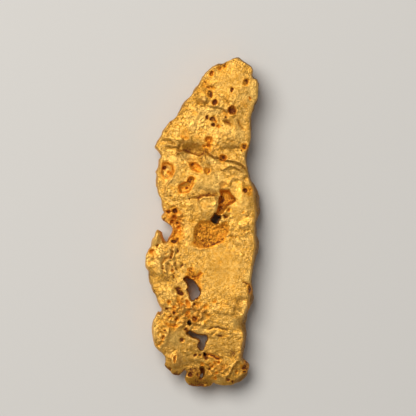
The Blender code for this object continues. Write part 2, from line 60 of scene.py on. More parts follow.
# The outline from the pointed end, clockwise, in hundredths of a millimetre.
OUTLINE = [
    (344, 1639), (375, 1630), (407, 1605), (444, 1583), (485, 1555), (507, 1524), (510, 1492), (505, 1460),
    (516, 1434), (535, 1430), (553, 1415), (565, 1365), (562, 1255), (553, 1215), (525, 1169), (516, 1128),
    (503, 1083), (489, 1028), (487, 965), (496, 870), (485, 792), (462, 728), (448, 683), (444, 637),
    (453, 583), (475, 474), (489, 437), (516, 396), (544, 346), (562, 292), (566, 228), (580, 120),
    (566, 46), (546, -10), (553, -95), (560, -149), (571, -204), (566, -267), (539, -404), (512, -531),
    (500, -604), (503, -667), (510, -731), (505, -795), (485, -849), (462, -913), (439, -985), (430, -1035),
    (444, -1113), (448, -1176), (435, -1240), (430, -1304), (421, -1349), (439, -1376), (466, -1413),
    (478, -1458), (466, -1504), (439, -1545), (398, -1585), (344, -1617), (289, -1638), (198, -1636),
    (132, -1626), (114, -1608), (100, -1620), (82, -1635), (35, -1645), (-38, -1649), (-102, -1645),
    (-147, -1622), (-170, -1585), (-175, -1549), (-156, -1504), (-164, -1481), (-177, -1474), (-190, -1488),
    (-202, -1513), (-229, -1538), (-275, -1538), (-306, -1517), (-325, -1490), (-361, -1463), (-384, -1431),
    (-379, -1395), (-373, -1367), (-393, -1335), (-425, -1290), (-461, -1254), (-484, -1213), (-493, -1167),
    (-499, -1060), (-493, -985), (-470, -935), (-447, -898), (-433, -896), (-417, -912), (-399, -897),
    (-400, -867), (-425, -835), (-443, -799), (-470, -740), (-502, -695), (-506, -640), (-525, -595),
    (-529, -540), (-538, -495), (-561, -463), (-576, -422), (-576, -376), (-565, -326), (-543, -281),
    (-515, -235), (-502, -181), (-482, -135), (-475, -99), (-447, -69), (-413, -92), (-398, -106),
    (-393, -145), (-379, -185), (-360, -203), (-343, -197), (-336, -165), (-317, -124), (-307, -80),
    (-315, -54), (-347, -22), (-393, 15), (-409, 42), (-397, 69), (-374, 95), (-393, 119), (-406, 174),
    (-415, 228), (-443, 274), (-452, 319), (-461, 383), (-456, 446), (-467, 496), (-447, 528), (-434, 574),
    (-438, 615), (-416, 650), (-434, 692), (-461, 724), (-476, 746), (-470, 769), (-443, 815), (-415, 865),
    (-397, 910), (-356, 965), (-325, 1002), (-286, 1031), (-238, 1101), (-211, 1146), (-175, 1201),
    (-125, 1260), (-47, 1355), (-20, 1410), (16, 1469), (66, 1524), (107, 1551), (162, 1578), (210, 1583),
    (227, 1598), (289, 1628),
]

# The eye, the long gap, the crooked gap, two small holes and the slit by the blunt end.
HOLES = [
    [(89, 22), (114, 58), (130, 84), (156, 66), (190, 60), (184, 36), (162, 10), (154, -16), (134, -19),
        (98, 0)],
    [(-180, -568), (-152, -553), (-120, -570), (-84, -590), (-56, -631), (-25, -667), (-18, -708),
        (-38, -742), (-75, -769), (-93, -786), (-111, -778), (-125, -740), (-138, -695), (-150, -676),
        (-133, -656), (-143, -622), (-162, -590)],
    [(-158, -1108), (-136, -1092), (-118, -1088), (-84, -1108), (-47, -1129), (-11, -1131), (46, -1134),
        (54, -1172), (36, -1204), (30, -1249), (7, -1287), (-17, -1276), (-40, -1240), (-25, -1204),
        (-29, -1176), (-65, -1160), (-102, -1156), (-131, -1135)],
    [(-142, -998), (-126, -990), (-112, -1012), (-120, -1030), (-134, -1020)],
    [(10, -1302), (24, -1298), (40, -1322), (34, -1334), (18, -1324)],
    [(-12, -1464), (2, -1462), (14, -1490), (10, -1528), (-6, -1556), (-18, -1550), (-6, -1516),
        (-2, -1490)],
]

# How wide the steep facet along the right edge is, at heights up the plan.
FACET_Y = [-16.4, -14.2, -13.4, -11, -10.2, -8.4, -7.3, -6.2, -4.2, -2, 0, 1.2, 2.4, 3.6, 4.6, 9, 16]
FACET_WIDTH = [0.5, 0.45, 0.45, 0.35, 0.5, 0.35, 0.5, 0.22, 0.35, 0.45, 0.25, 0.5, 0.52, 0.42, 0.2, 0.1,
               0.08]
FACET_FROM_X, FACET_TO_X = 2.4, 3.8  # the facet takes over from the rounded rim between these
FACET_FULLNESS = 0.8

# Ovals for the broad forms on the face, in millimetres: (..., height).
FORMS = [
    (3, 13.6, 3.4, 3.2, 0.06, 60), (-1, 9.7, 3.2, 2.2, 0.04, 50), (2.6, 8.4, 2.6, 1.6, 0.08),
    (-0.95, 6.95, 1.9, 1.35, -0.42, -8), (0.22, 11.86, 0.8, 0.62, -0.2), (0.3, 11.98, 0.4, 0.36, 0.24),
    (-0.2, 4.1, 2.8, 1.8, 0.14, -10), (-2.5, 5.3, 1.3, 2, 0.1), (1.4, 8.3, 3.4, 2.4, 0.1, 40),
    (-4, 3.2, 0.9, 3.4, -0.1), (0.7, 1.2, 1.55, 1.25, 0.07), (4.4, 2.3, 1.1, 2.1, 0.16, 4),
    (4.8, -0.1, 0.9, 1.3, 0.12), (-2.55, -0.3, 1.2, 1.6, -0.22), (2, -4, 3.6, 2.4, 0.03),
    (-4.2, -3.7, 1.5, 1.9, 0.16, -10), (-4.55, -1.6, 0.5, 1.1, 0.16, -10),
    (-3.2, -4.1, 1.1, 1.6, -0.16, 10), (-4, -4.6, 1.6, 1.2, 0.04, 10), (-3.4, -7.4, 1.6, 1.3, 0.05),
    (3.8, -7.85, 1.1, 0.55, -0.12), (3.9, -10.2, 0.8, 0.8, -0.22), (1.8, -12.2, 2, 1.8, 0.04),
    (-3.6, -11.3, 1.5, 1.9, 0.12), (-2.7, -13.9, 0.75, 1, 0.2, -15), (4.05, -15, 1.2, 1.3, -0.35, 40),
    (0.2, -17.5, 4.2, 2.3, -0.75), (-2.6, -16.3, 1.4, 1.3, -0.8, -20), (-1, -14.3, 1.6, 0.7, -0.12),
    (0, -18.5, 9, 11, -1.35),
]

# The same on the belly, where a height is a hollow.
BACK_FORMS = [
    (2.6, 12.4, 2.2, 2.6, 0.35), (-2.2, 8.6, 1.8, 2.4, 0.4, -40), (3.3, 5.6, 1.6, 2.8, 0.32),
    (-2.9, 3.4, 1.7, 2.6, 0.42), (0.6, 2.4, 2, 1.4, -0.18, 20), (4.2, -1.4, 1.4, 3.2, 0.44),
    (-3.8, -3.6, 1.6, 2.4, 0.55), (0.6, -3.8, 2.2, 1.6, -0.16, -30), (3.6, -6.6, 1.2, 1.4, 0.26),
    (-1.2, -14.4, 2.2, 1.6, 0.5), (3.9, -14.8, 1.3, 1.4, 0.5), (0.4, 6.2, 1.4, 1, 0.2, 10),
]

# Feet worn flat: (..., how far down).
FEET = [
    (1.9, 9.6, 3.6, 2.6, 0.75, 70), (-2.3, 3, 3, 2, 0.52, 80), (-2.9, -8.6, 3.2, 2.4, 0.72, 20),
    (2.7, -8.2, 3.4, 2.4, 0.7, -60),
]

# Pits in the belly: (..., depth).
BACK_PITS = [
    (2.9, 13.9, 0.5, 0.4, 0.24, 20), (-0.6, 8.6, 0.46, 0.32, 0.22, 60), (3.3, 8, 0.6, 0.36, 0.26, -30),
    (-2.2, 5.6, 0.44, 0.4, 0.24), (1.6, 4.6, 0.4, 0.3, 0.2, 10), (-1.6, 1.6, 0.66, 0.4, 0.28, 35),
    (3.9, 1.6, 0.42, 0.36, 0.24), (1.2, -2.2, 0.52, 0.44, 0.26, -20), (-3.4, -1.9, 0.4, 0.3, 0.22, 70),
    (3.1, -4.6, 0.7, 0.42, 0.28, 15), (-0.2, -4.2, 0.38, 0.32, 0.2), (-3.4, -6.4, 0.46, 0.4, 0.24),
    (0.6, -8.2, 0.6, 0.34, 0.26, 50), (-3.4, -12, 0.44, 0.36, 0.24), (1.6, -14.2, 0.54, 0.36, 0.24, -15),
]
BACK_GRAIN, BACK_GRAIN_SIZE = 0.075, 0.8  # the belly's soft waves, and their size

# From here on, places and sizes are on the drawing sheet, in tenths of a millimetre. In these tables,
# heights and depths are in hundredths, and stains and shares in per cent.

# Lumps, as ovals: (..., height, fullness). A low fullness has a sharp foot.
LUMPS = [
    (204, 98.5, 3.2, 2.6, 18, 1.2), (245.5, 82.5, 1.5, 1.4, 16, 1.2), (212.8, 118.2, 1.2, 1.1, 12, 1.2),
    (182, 338.5, 1.5, 1.4, 12, 1.2), (212, 149, 1.8, 1.6, 8, 1.5), (209, 152, 1.8, 1.6, 8, 1.5),
    (214.5, 154.5, 1.8, 1.5, 8, 1.5), (195, 142, 4, 2.2, 8, 1.5, 10), (180, 139.5, 5, 2.4, 10, 1.2, 25),
    (213, 206, 18, 13, 12, 0.8), (240, 195, 20, 5, 8, 1, 90), (244, 223.5, 5.4, 4.4, 8, 1),
    (157, 238, 6.5, 3.4, 12, 1, 105), (147, 256, 2.4, 2.2, 10, 1.3), (152, 256, 2.6, 2.4, 12, 1.3),
    (160, 255.5, 2.6, 2.4, 12, 1.3), (148.5, 265, 3.4, 2.6, 10, 1.3, 60), (168, 334, 9, 2, 10, 1.2, 92),
    (174.5, 358, 8.8, 5, 26, 0.9, 100), (211, 352, 2.8, 1.8, 10, 1.3, 10), (220, 354, 3.2, 2, 10, 1.3, 10),
    (170, 217, 3.4, 3, 14, 1.2), (180, 214, 3.2, 2.6, 12, 1.2, 20), (181, 221, 2.8, 3.4, 12, 1.2),
    (173, 229, 2.6, 3.4, 12, 1.2), (192.5, 307.5, 4.5, 3.5, 20, 1.2, 20), (183, 319, 4, 3.4, 16, 1.2),
    (202, 322, 5.6, 3.2, 16, 1, -10), (197, 329, 5, 2.6, 14, 1.1, 20), (184, 309, 2.8, 3.2, 14, 1.2),
    (164, 303, 3.6, 2.8, 10, 1.2, 30), (161, 291, 3.2, 2.6, 8, 1.2, 40), (172, 288, 3, 4, 8, 1.2),
]

# Pits, as ovals: (..., depth, rust, dark).
PITS = [
    # The pointed end.
    (211.7, 73, 3, 2.5, 15, 90, 35, 90), (219.5, 68, 2.3, 2.1, 11, 70, 25),
    (224.5, 65.7, 3, 2, 11, 70, 25, 100), (246, 82, 3.8, 3.1, 17, 50, 75, 95),
    (231.5, 90, 2.9, 1.8, 20, 50, 100, 90), (249, 98, 2.1, 1.3, 11, 80, 20, 90),
    (210, 94, 3.8, 3, 12, 40, 80, 60), (209, 87, 3, 1.6, 10, 70, 35, 20), (215, 102, 3.2, 2.9, 20, 70, 75),
    (232, 110, 4.6, 4.1, 32, 50, 95, 80),
    # The band below it.
    (207, 117, 2.4, 1.8, 14, 30, 100, 60), (212.5, 118.5, 3.3, 2.9, 16, 40, 90),
    (215.5, 121, 1.7, 1.5, 11, 60, 40), (213, 124.5, 2.4, 2, 14, 30, 100), (218, 125, 2.1, 1.9, 9, 80, 10),
    (226, 117.5, 1.5, 1.3, 18, 20, 100), (226.5, 121.5, 4.6, 2.7, 12, 5, 30, 20),
    (208.5, 139.5, 3.8, 3.3, 14, 80, 20), (208, 145, 2.3, 2.1, 11, 80, 25), (204, 146, 1.9, 1.6, 9, 60, 30),
    (244.5, 146, 3.3, 2.9, 16, 60, 70), (241.5, 150, 1.4, 1.3, 14, 30, 80),
    (222.5, 157, 4.1, 3.7, 20, 80, 35), (222.5, 157, 1.7, 1.5, 10, 20, 60),
    # The middle.
    (164, 167, 2.4, 2.1, 22, 40, 90), (169, 172, 2.6, 2.1, 8, 60, 0),
    (195.5, 166.5, 7.8, 4, 24, 50, 25, 38), (191.5, 164.5, 2.4, 2, 10, 60, 70),
    (207.5, 170.5, 3.6, 3.1, 15, 45, 35, 20), (189.5, 198.2, 1.3, 1.2, 12, 20, 90),
    (222.5, 184, 3.8, 3.6, 12, 20, 0), (228.5, 209, 2.3, 2, 12, 70, 30), (245, 190, 3, 2, 22, 30, 95),
    (243.5, 212, 1.8, 1.5, 9, 30, 30), (246.5, 215.5, 1.7, 1.5, 9, 20, 30),
    (221.5, 199, 5.5, 2.6, 25, 20, 60, 100), (190.5, 180.5, 3.4, 2.4, 10, 60, 70, -40),
    (186, 187.5, 1.6, 1.3, 6, 70, 20), (182.5, 186, 1.3, 1.1, 6, 70, 10), (189, 184.5, 1.3, 1.2, 6, 70, 30),
    (208.5, 171, 1.3, 1.1, 6, 60, 50),
    # The rusty patch on the left.
    (168.5, 210.5, 2.5, 1.9, 22, 50, 90), (175, 210, 3.3, 2.7, 24, 50, 90),
    (174.5, 216.5, 3.2, 2.1, 14, 70, 35, 90), (164.5, 218.7, 1.4, 1.3, 14, 40, 80),
    (177.5, 222, 2.3, 1.7, 16, 30, 60), (171.5, 221, 2, 1.7, 10, 80, 15),
    (178.5, 226, 1.7, 1.5, 10, 70, 20), (183.5, 236.8, 1.4, 1.2, 12, 40, 80),
    (173.5, 240.5, 4, 1.8, 17, 40, 90), (177, 238, 1.7, 1.5, 12, 50, 60), (170, 236, 1.8, 1.6, 12, 70, 50),
    # The lower left.
    (157.5, 244.7, 1.8, 1.6, 16, 50, 80), (151, 251, 2.7, 2.3, 9, 80, 10),
    (163.5, 241.8, 1.4, 1.2, 12, 30, 70), (165.5, 253, 1.3, 1.2, 11, 30, 35),
    (170, 256.5, 1.4, 1.3, 12, 30, 45), (163, 267, 1.4, 1.2, 12, 30, 70),
    (165, 271.5, 1.5, 1.3, 12, 30, 70), (172.5, 270, 1.6, 1.4, 12, 30, 60),
    (174.5, 272.5, 1.4, 1.2, 11, 30, 60), (174, 275.5, 1.4, 1.2, 11, 30, 60),
    (190, 268.5, 2.9, 2.4, 9, 70, 40),
    # Round the long gap.
    (178, 287.5, 3.2, 2.6, 16, 35, 80), (180.5, 291.5, 3.6, 3, 20, 35, 100, 50),
    (182.5, 298, 1.7, 1.4, 13, 40, 60), (188, 302.5, 4, 2.2, 12, 60, 10, 80),
    (169, 301, 2.1, 1.9, 10, 80, 20), (174, 307, 2.3, 2, 11, 80, 20), (167, 308, 1.6, 1.4, 17, 20, 100),
    (174, 311.5, 2.1, 1.9, 14, 40, 70), (188, 312, 2.3, 2.1, 12, 50, 20),
    (186.3, 328.6, 2.3, 2, 12, 40, 90), (169.5, 315.5, 1.7, 1.5, 12, 40, 60),
    (176.5, 318, 2.3, 2.1, 16, 50, 60), (195, 318.5, 3.4, 2.3, 18, 60, 70, 90),
    (174, 324, 4.6, 1.8, 12, 60, 45, 10), (164.5, 328.5, 1.8, 1.6, 12, 40, 60),
    (163, 336, 2.2, 1.4, 12, 40, 60, 90), (182, 338.5, 3, 2.7, 14, 30, 90),
    (158, 344, 1.6, 1.4, 11, 30, 50), (194, 302.5, 2, 1.2, 10, 30, 70), (206, 305, 2.7, 2.4, 11, 50, 25),
    (205, 321, 2.2, 1.9, 11, 50, 40), (214.5, 301, 2.1, 1.9, 6, 75, 0), (241, 299.5, 5.2, 3.5, 6, 0, 0),
    (248.8, 288, 1.8, 4, 10, 80, 90),
    # The bottom.
    (175, 358, 4.2, 1.4, 28, 40, 50, 100), (169, 367.5, 2.4, 2.1, 18, 30, 90),
    (177, 373.5, 1.9, 1.6, 12, 30, 50), (196, 353.8, 1.9, 1.7, 18, 20, 100),
    (199.8, 354, 1.5, 1.3, 15, 20, 100), (190, 373.5, 3.2, 2.3, 20, 30, 100),
    (198, 373.5, 2.7, 1.4, 11, 30, 50, 90), (209.5, 368, 1.5, 1.3, 13, 30, 80),
    (202, 363, 1.6, 1.3, 9, 70, 20), (210, 363, 1.6, 1.3, 9, 70, 20), (214, 361, 1.5, 1.3, 8, 80, 10),
    (218, 361, 1.5, 1.3, 8, 80, 10), (212, 365.5, 1.6, 1.3, 8, 80, 10), (216, 372, 1.7, 1.4, 9, 80, 10),
    (214, 377, 1.8, 1.4, 9, 80, 20), (243.5, 366, 2.8, 2.4, 18, 50, 100), (246, 361, 2.2, 1.8, 12, 50, 80),
    (244.5, 370.5, 2.1, 1.8, 13, 50, 90), (247.3, 367, 1.6, 1.3, 11, 50, 50),
    (236, 371, 1.9, 1.6, 9, 50, 50), (228, 379, 2.1, 1.6, 12, 40, 100), (232, 380, 2.1, 1.6, 12, 40, 100),
]

# Basins with a drawn rim: (depth, how wide the slope is, rust on the rim, rust within, dark within, rim). The
# dark within is partly dirt and partly painted shade in the hollow.
BASINS = [
    (18, 2.5, 50, 5, 5, [(162, 163), (168, 162), (173, 165), (173, 171), (169, 177), (164, 178),
        (161, 172)]),
    (24, 2, 65, 12, 24, [(187, 179), (191, 176), (194.5, 178), (194, 182.5), (191.5, 186), (190, 190),
        (187, 192.5), (182, 192.5), (178.5, 190), (178.5, 186), (182, 182.5), (186, 181.5)]),
    (65, 4.4, 0, 46, 36, [(219, 189), (226, 188), (230, 189), (232, 193), (235.5, 198), (235, 202),
        (231, 204), (227, 206), (225, 210), (223, 213), (219, 214), (216, 212), (217.5, 207), (219.5, 200),
        (219.5, 193)]),
    (24, 4.5, 0, 47, 38, [(196, 223.5), (193, 231), (194, 240), (198, 244.5), (204, 246), (210, 245.5),
        (216, 243), (221, 240), (226, 236), (229, 231), (229, 225), (226, 220), (220, 222), (213, 221),
        (206, 218.5), (200, 219.5)]),
]

# Ledges: (height, how far the step fades, painted shade along the step's foot, points). The ground on the
# left of the way stands higher.
LEDGES = [
    (14, 12, 32, [(200, 106), (206, 105), (213, 106.5), (222, 108), (229, 113)]),
    (26, 18, 38, [(206, 152), (199, 155), (195, 153), (185, 150.7), (178, 150), (176, 153)]),
    (8, 16, 0, [(178, 150.5), (176, 153), (174.5, 160), (175, 165), (174, 172), (170, 178), (167, 183),
        (165, 190), (164, 200), (164, 208)]),
    (22, 12, 45, [(205, 151), (212, 155), (218, 158), (226, 160), (235, 161), (241, 164), (246, 168),
        (249, 173)]),
    (12, 8, 25, [(220, 169), (226, 168), (232, 166), (238, 168), (246, 172)]),
    (24, 10, 45, [(218, 194), (212, 194), (205, 195.5), (200, 198), (196, 200)]),
    (10, 12, 25, [(172, 244), (173, 252), (171, 257), (166, 260)]),
    (6, 10, 25, [(215, 312), (225, 313), (233, 315)]),
    (5, 8, 10, [(233, 316), (234, 308), (236, 301), (240, 296)]),
    (18, 12, 20, [(224, 380), (227, 376), (231, 371), (233, 366), (236, 362), (240, 358)]),
    (6, 9, 20, [(183, 381), (184, 372), (188, 368), (196, 367), (201, 368)]),
    (14, 8, 30, [(244, 325), (244, 335), (242, 345), (241, 356)]),
    (5, 7, 10, [(207, 337), (214, 336), (222, 336.5), (231, 337)]),
    (8, 8, 20, [(166, 346), (167, 336), (170, 328), (176, 326)]),
]

# Creases: (depth, half-width, rust, dark, points). The dark is partly dirt in the crease and partly painted
# shade.
CREASES = [
    (10, 0.9, 50, 30, [(202, 81), (207, 82)]), (10, 0.9, 50, 40, [(201, 84), (206, 86)]),
    (12, 1, 70, 50, [(209, 85), (216, 90)]), (10, 1.2, 30, 20, [(203, 89), (207, 93)]),
    (10, 1.4, 10, 15, [(196, 98), (200, 103), (205, 104.5), (208, 102)]),
    (8, 1, 20, 20, [(220, 98), (226, 101), (231, 104)]),
    (8, 1.1, 30, 15, [(221, 109), (226, 114), (229, 116)]),
    (8, 1, 0, 15, [(183, 110), (175, 119.5), (168, 128), (164, 134)]),
    (12, 0.9, 15, 45, [(236, 118), (239, 122), (241, 126), (245, 130)]),
    (8, 1, 10, 25, [(225, 138), (231, 141), (238, 141)]),
    (5, 1.3, 60, 15, [(180, 134), (184, 137), (190, 137.5)]),
    (14, 1.2, 0, 35, [(160, 140.5), (170, 141), (177, 144.5)]),
    (14, 1.2, 0, 35, [(164, 145), (172, 148), (179, 147), (181, 143)]),
    (12, 2.4, 0, 30, [(215, 150), (230, 148), (245, 149)]),
    (8, 1.1, 10, 20, [(183, 160), (190, 157), (196, 160)]),
    (5, 1.2, 60, 20, [(161, 163), (167, 162), (173, 165), (174, 171), (170, 177)]),
    (8, 1, 0, 15, [(169, 192), (172, 198), (177, 202)]),
    (9, 2.4, 0, 10, [(197, 189), (205, 190), (210, 192.5), (218, 194)]),
    (13, 0.9, 15, 45, [(189, 198), (196, 197), (203, 195.5), (209, 195), (217, 194.5)]),
    (7, 0.9, 0, 20, [(207, 207), (213, 207)]), (7, 0.9, 0, 20, [(209, 210.5), (214, 210.5)]),
    (10, 1.1, 70, 30, [(247, 188), (250, 185)]), (10, 1.1, 70, 30, [(248, 190), (252, 189)]),
    (10, 1.1, 70, 30, [(247, 192), (251, 195)]), (10, 1.2, 10, 25, [(242, 180), (246, 177), (249, 175)]),
    (12, 1.3, 90, 50, [(192.5, 239), (195, 243), (200, 245.5), (208, 245.5), (214, 243.5), (220, 240),
        (227, 237)]),
    (10, 1.1, 10, 25, [(239, 226), (242, 230), (247, 230.5), (250, 228)]),
    (10, 1.1, 20, 35, [(230, 233), (233, 236), (238, 237.5)]), (8, 1.2, 60, 10, [(147, 261), (151, 263)]),
    (12, 0.8, 5, 30, [(172, 243), (172, 252), (170, 256), (166, 258), (163, 262), (162, 267), (165, 272)]),
    (10, 0.8, 5, 50, [(168, 262), (170, 266), (169, 271)]),
    (14, 0.8, 5, 70, [(175, 258), (175, 265), (178, 270)]),
    (6, 1.1, 100, 50, [(185, 277), (188, 276.5), (193, 275.5), (200, 274)]),
    (6, 1.1, 100, 40, [(193, 279), (198, 276), (200, 273), (202, 270)]),
    (5, 1.2, 60, 10, [(195, 279), (199, 282), (200, 287), (202, 290)]),
    (17, 0.8, 40, 90, [(242, 282), (244, 281), (248, 282.5), (251, 284)]),
    (12, 1.5, 50, 40, [(177, 294), (179, 300), (181, 305)]),
    (10, 1.2, 50, 30, [(165, 320), (169, 324), (177, 330)]),
    (10, 1.4, 50, 50, [(192, 301), (197, 303.5), (203, 301)]),
    (9, 1.2, 30, 30, [(205, 312), (208, 316), (212, 314)]), (5, 0.9, 20, 40, [(212, 298.5), (217, 298.5)]),
    (8, 1.3, 0, 20, [(229, 304), (235, 308), (243, 312)]),
    (10, 0.8, 5, 75, [(207, 329), (213, 327), (218, 326), (224, 328), (230, 328.5)]),
    (10, 0.8, 5, 75, [(215, 333), (219, 335), (228, 335.5)]),
    (14, 2.5, 0, 20, [(238, 320), (243, 326), (245, 333)]),
    (14, 1, 90, 70, [(205, 352), (208, 354), (215, 356), (222, 358.5)]),
    (35, 0.9, 20, 90, [(204, 351), (205.5, 354.5), (207.5, 359)]),
    (35, 1.2, 20, 100, [(201, 365), (201.5, 367), (202.8, 370.5), (201.8, 375), (199.3, 379.5)]),
    (25, 1.4, 20, 70, [(223, 213), (225, 215.5), (229, 216)]),
    (10, 1, 30, 35, [(185, 311), (188, 316), (190, 321)]),
    (10, 0.8, 5, 80, [(181, 260), (182, 264), (181, 268)]),
    (10, 0.8, 5, 80, [(176, 246), (178, 249), (177, 254)]),
    (8, 1, 10, 30, [(221, 226), (226, 229), (229, 233)]),
    (8, 1, 20, 40, [(168, 207), (174, 206), (180, 208)]),
    (10, 1.2, 20, 40, [(223, 120), (228, 123), (234, 125)]),
    (7, 1, 10, 30, [(217, 133), (223, 135), (230, 136)]),
    (7, 0.9, 30, 30, [(160, 328), (163, 333), (162, 340), (158, 345)]),
    (8, 1, 30, 40, [(247, 296), (249, 306), (248, 314)]),
]

# Thin ridges: (height, half-width, points).
RIDGES = [
    (10, 0.9, [(177, 151), (176, 153), (174.5, 157), (174, 163), (174, 172), (171, 178), (167, 183),
        (165, 190), (164, 200)]),
    (10, 0.9, [(170, 142.5), (174, 145), (178, 146.5)]), (8, 1, [(179, 136), (182, 139), (184, 141)]),
    (4, 1.1, [(178, 154.5), (186, 154), (192, 156), (196, 160)]),
    (7, 0.9, [(184, 162), (188, 158), (193, 159)]),
    (10, 1, [(229, 187), (230, 181), (233, 177.5), (238, 177), (241, 180)]),
    (6, 0.8, [(209, 171), (213, 174), (217, 178)]), (8, 0.9, [(212, 206), (216, 203), (217, 198)]),
    (10, 1, [(155, 314), (153.5, 322), (153.5, 332), (155, 342)]),
    (10, 0.9, [(174, 244), (175, 251), (172, 257), (166, 261), (164.5, 267), (167, 273)]),
    (9, 0.9, [(172, 259), (173, 266), (176, 271)]), (8, 0.9, [(155, 250), (159, 256), (160, 262)]),
    (9, 1.2, [(170, 352), (171, 360), (174, 366), (179, 364), (180, 356), (177, 350)]),
    (10, 1, [(243, 327), (243, 336), (241, 348), (240, 357)]),
    (4, 0.9, [(208, 331), (216, 329), (224, 331), (231, 332)]),
    (8, 0.9, [(207, 355), (214, 358), (222, 361)]), (7, 0.8, [(241, 214), (246, 212), (249, 216)]),
    (8, 0.9, [(240, 228), (244, 232), (249, 231)]), (7, 0.9, [(207, 110), (214, 109), (221, 111)]),
    (8, 1, [(224, 164), (232, 164), (240, 168), (246, 176)]), (7, 0.8, [(203, 75), (208, 69.5), (216, 65)]),
    (6, 0.8, [(223, 63), (231, 59), (238, 58)]), (8, 1, [(186, 243), (192, 246), (200, 248.5), (210, 248)]),
]

# Colour alone, as ovals: (..., rust, dark). The dark is partly dirt and partly painted shade: under
# overhangs, in hollows and towards the bottom edge.
STAINS_AND_SHADE = [
    (173, 216, 13, 12, 52, 0), (176, 233, 10, 12, 74, 0), (175, 239, 7, 4, 60, 35), (189, 237, 4, 6, 0, 30),
    (191, 273, 7, 4, 55, 50), (171, 122, 2.4, 1.8, 40, 50, 50), (206, 192, 9, 3, 15, 20, 4),
    (201, 130, 2.6, 2, 60, 0), (195, 113, 4, 3, 45, 0), (186, 131, 5, 4, 35, 0), (207, 83, 5, 6, 25, 30),
    (197, 97, 5, 7, 0, 30), (199, 90, 5, 4, 10, 25), (247, 189, 7, 6, 45, 28), (196, 217, 8, 5, 10, 30),
    (239, 217, 5, 7, 0, 28), (198, 297, 4, 2.4, 90, 80, -40), (202, 235, 11, 11, 36, 26),
    (231, 200, 6, 7, 10, 30, 30), (219.5, 208, 4, 6, 0, 35, 20), (194, 277, 9, 4, 50, 0, 10),
    (186, 312, 26, 14, 10, 10), (218, 367, 15, 11, 15, 0), (200, 375, 17, 9, 15, 22),
    (246.5, 363, 5, 8, 50, 60), (246, 106, 2.5, 2, 35, 0), (243, 102, 5, 5, 22, 0),
    (208, 147, 9, 8, 35, 10, 30), (243, 147, 6, 5, 30, 10), (185, 187, 5, 3, 50, 20, -30),
    (190, 147, 13, 7, 15, 42, -8), (202, 151, 8, 5, 10, 50, 8), (205, 385, 50, 45, 0, 24),
    (234, 378, 7, 5, 0, 30), (196, 351, 8, 7, 0, 20), (211, 241, 8, 4, 20, 35), (243, 185, 4, 5, 0, 40),
    (152, 254, 5, 5, 30, 0), (192, 270, 5, 4, 40, 40), (163, 357, 6, 13, 0, 20, -30),
    (222, 64, 10, 4, 10, 55, -15), (157, 144, 5, 7, 0, 20), (200, 159, 7, 6, 5, 48),
    (222, 76, 15, 13, 0, 24, -20), (221, 292, 9, 8, 0, 16), (233, 353, 6, 8, 0, 45),
    (208, 364, 5, 4, 0, 45), (207, 149, 4.5, 4, 15, 45), (250, 130, 4, 7, 0, 25), (250, 290, 3, 8, 30, 30),
    (211, 96, 7, 6, 10, 15), (179, 244, 6, 6, 15, 52), (199, 386, 20, 8, 0, 60),
    (176, 375, 9, 4.5, 0, 60, -20), (186, 104, 46, 7, 5, 28, -54), (160, 324, 4, 8, 10, 25),
    (169, 316, 5, 4, 20, 20), (165, 365, 5, 5, 0, 60), (171, 243, 4, 3, 30, 30), (207, 91, 9, 8, 15, 28),
    (164, 322, 5, 11, 15, 20, 10), (226, 206, 4.5, 6, 20, 35, 30), (235, 210, 4, 4, 0, 30),
    (226, 250, 7, 5, 0, 20), (206, 258, 7, 4, 0, 25), (198, 137, 6, 4, 20, 25), (151, 273, 6, 8, 0, 42),
    (226, 297, 10, 6, 0, 25), (181, 108, 6, 8, 0, 20, 30), (194, 206, 6, 12, 0, 30),
    (219, 270, 20, 30, 0, 23), (165, 278, 16, 7, 0, 45), (155, 291, 7, 11, 0, 42), (176, 286, 9, 4, 0, 35),
    (222, 386, 14, 4, 0, 20), (222, 349, 18, 11, 0, 28), (235, 256, 7, 6, 0, 25), (193, 368, 10, 8, 0, 30),
    (211, 319, 6, 5, 0, 20), (213, 331, 5, 4, 0, 25), (175, 373, 6, 5, 0, 40),
]

# Ovals of painted light: ground painted brighter where the metal should catch more light, and painted
# highlights on rims and lumps: (..., how bright).
PAINTED_LIGHT = [
    (225, 132, 17, 8, 55), (196, 120, 11, 13, 60, 30), (172, 170, 9, 15, 80, 10), (184, 157, 10, 4, 90),
    (203, 184, 15, 8, 55), (214, 187, 6, 4, 90), (170, 222, 8, 9, 100), (188, 229, 4, 8, 50),
    (176, 229, 5, 5, 80), (242, 98, 9, 6, 60), (204, 98.5, 3.5, 3, 100), (175, 338, 9, 8, 90),
    (240, 132, 6, 12, 70), (192, 309, 5, 4, 100), (250, 276, 7, 10, 90), (164, 262, 10, 12, 100),
    (172, 175, 4, 9, 90), (234, 164, 8, 4, 100, 10), (190, 298, 5, 6, 100), (186, 286, 4, 9, 70),
    (157, 239, 7, 9, 100), (254, 94, 8, 18, 90), (207, 190, 9, 5, 70), (218, 180, 8, 10, 80),
    (216.5, 205, 3, 7, 90), (201, 78, 4, 5, 60), (241, 173, 7, 4, 60, 20), (244, 158, 5, 6, 50),
    (219, 380, 5, 4, 90), (168, 337, 7, 9, 60), (178, 358, 5, 9, 90), (190, 301, 5, 8, 60),
    (200, 334, 6, 9, 90), (243, 204, 6, 9, 40), (212, 110, 16, 5, 90), (234, 321, 8, 6, 60),
    (166, 158, 6, 8, 40), (154.5, 327, 2.4, 14, 100, 3), (216, 205, 4, 8, 35), (200, 248, 12, 4, 30),
    (170, 292, 8, 5, 30), (246, 314, 5, 17, 100), (147, 258, 6, 9, 100), (212, 160, 8, 5, 90, 20),
]

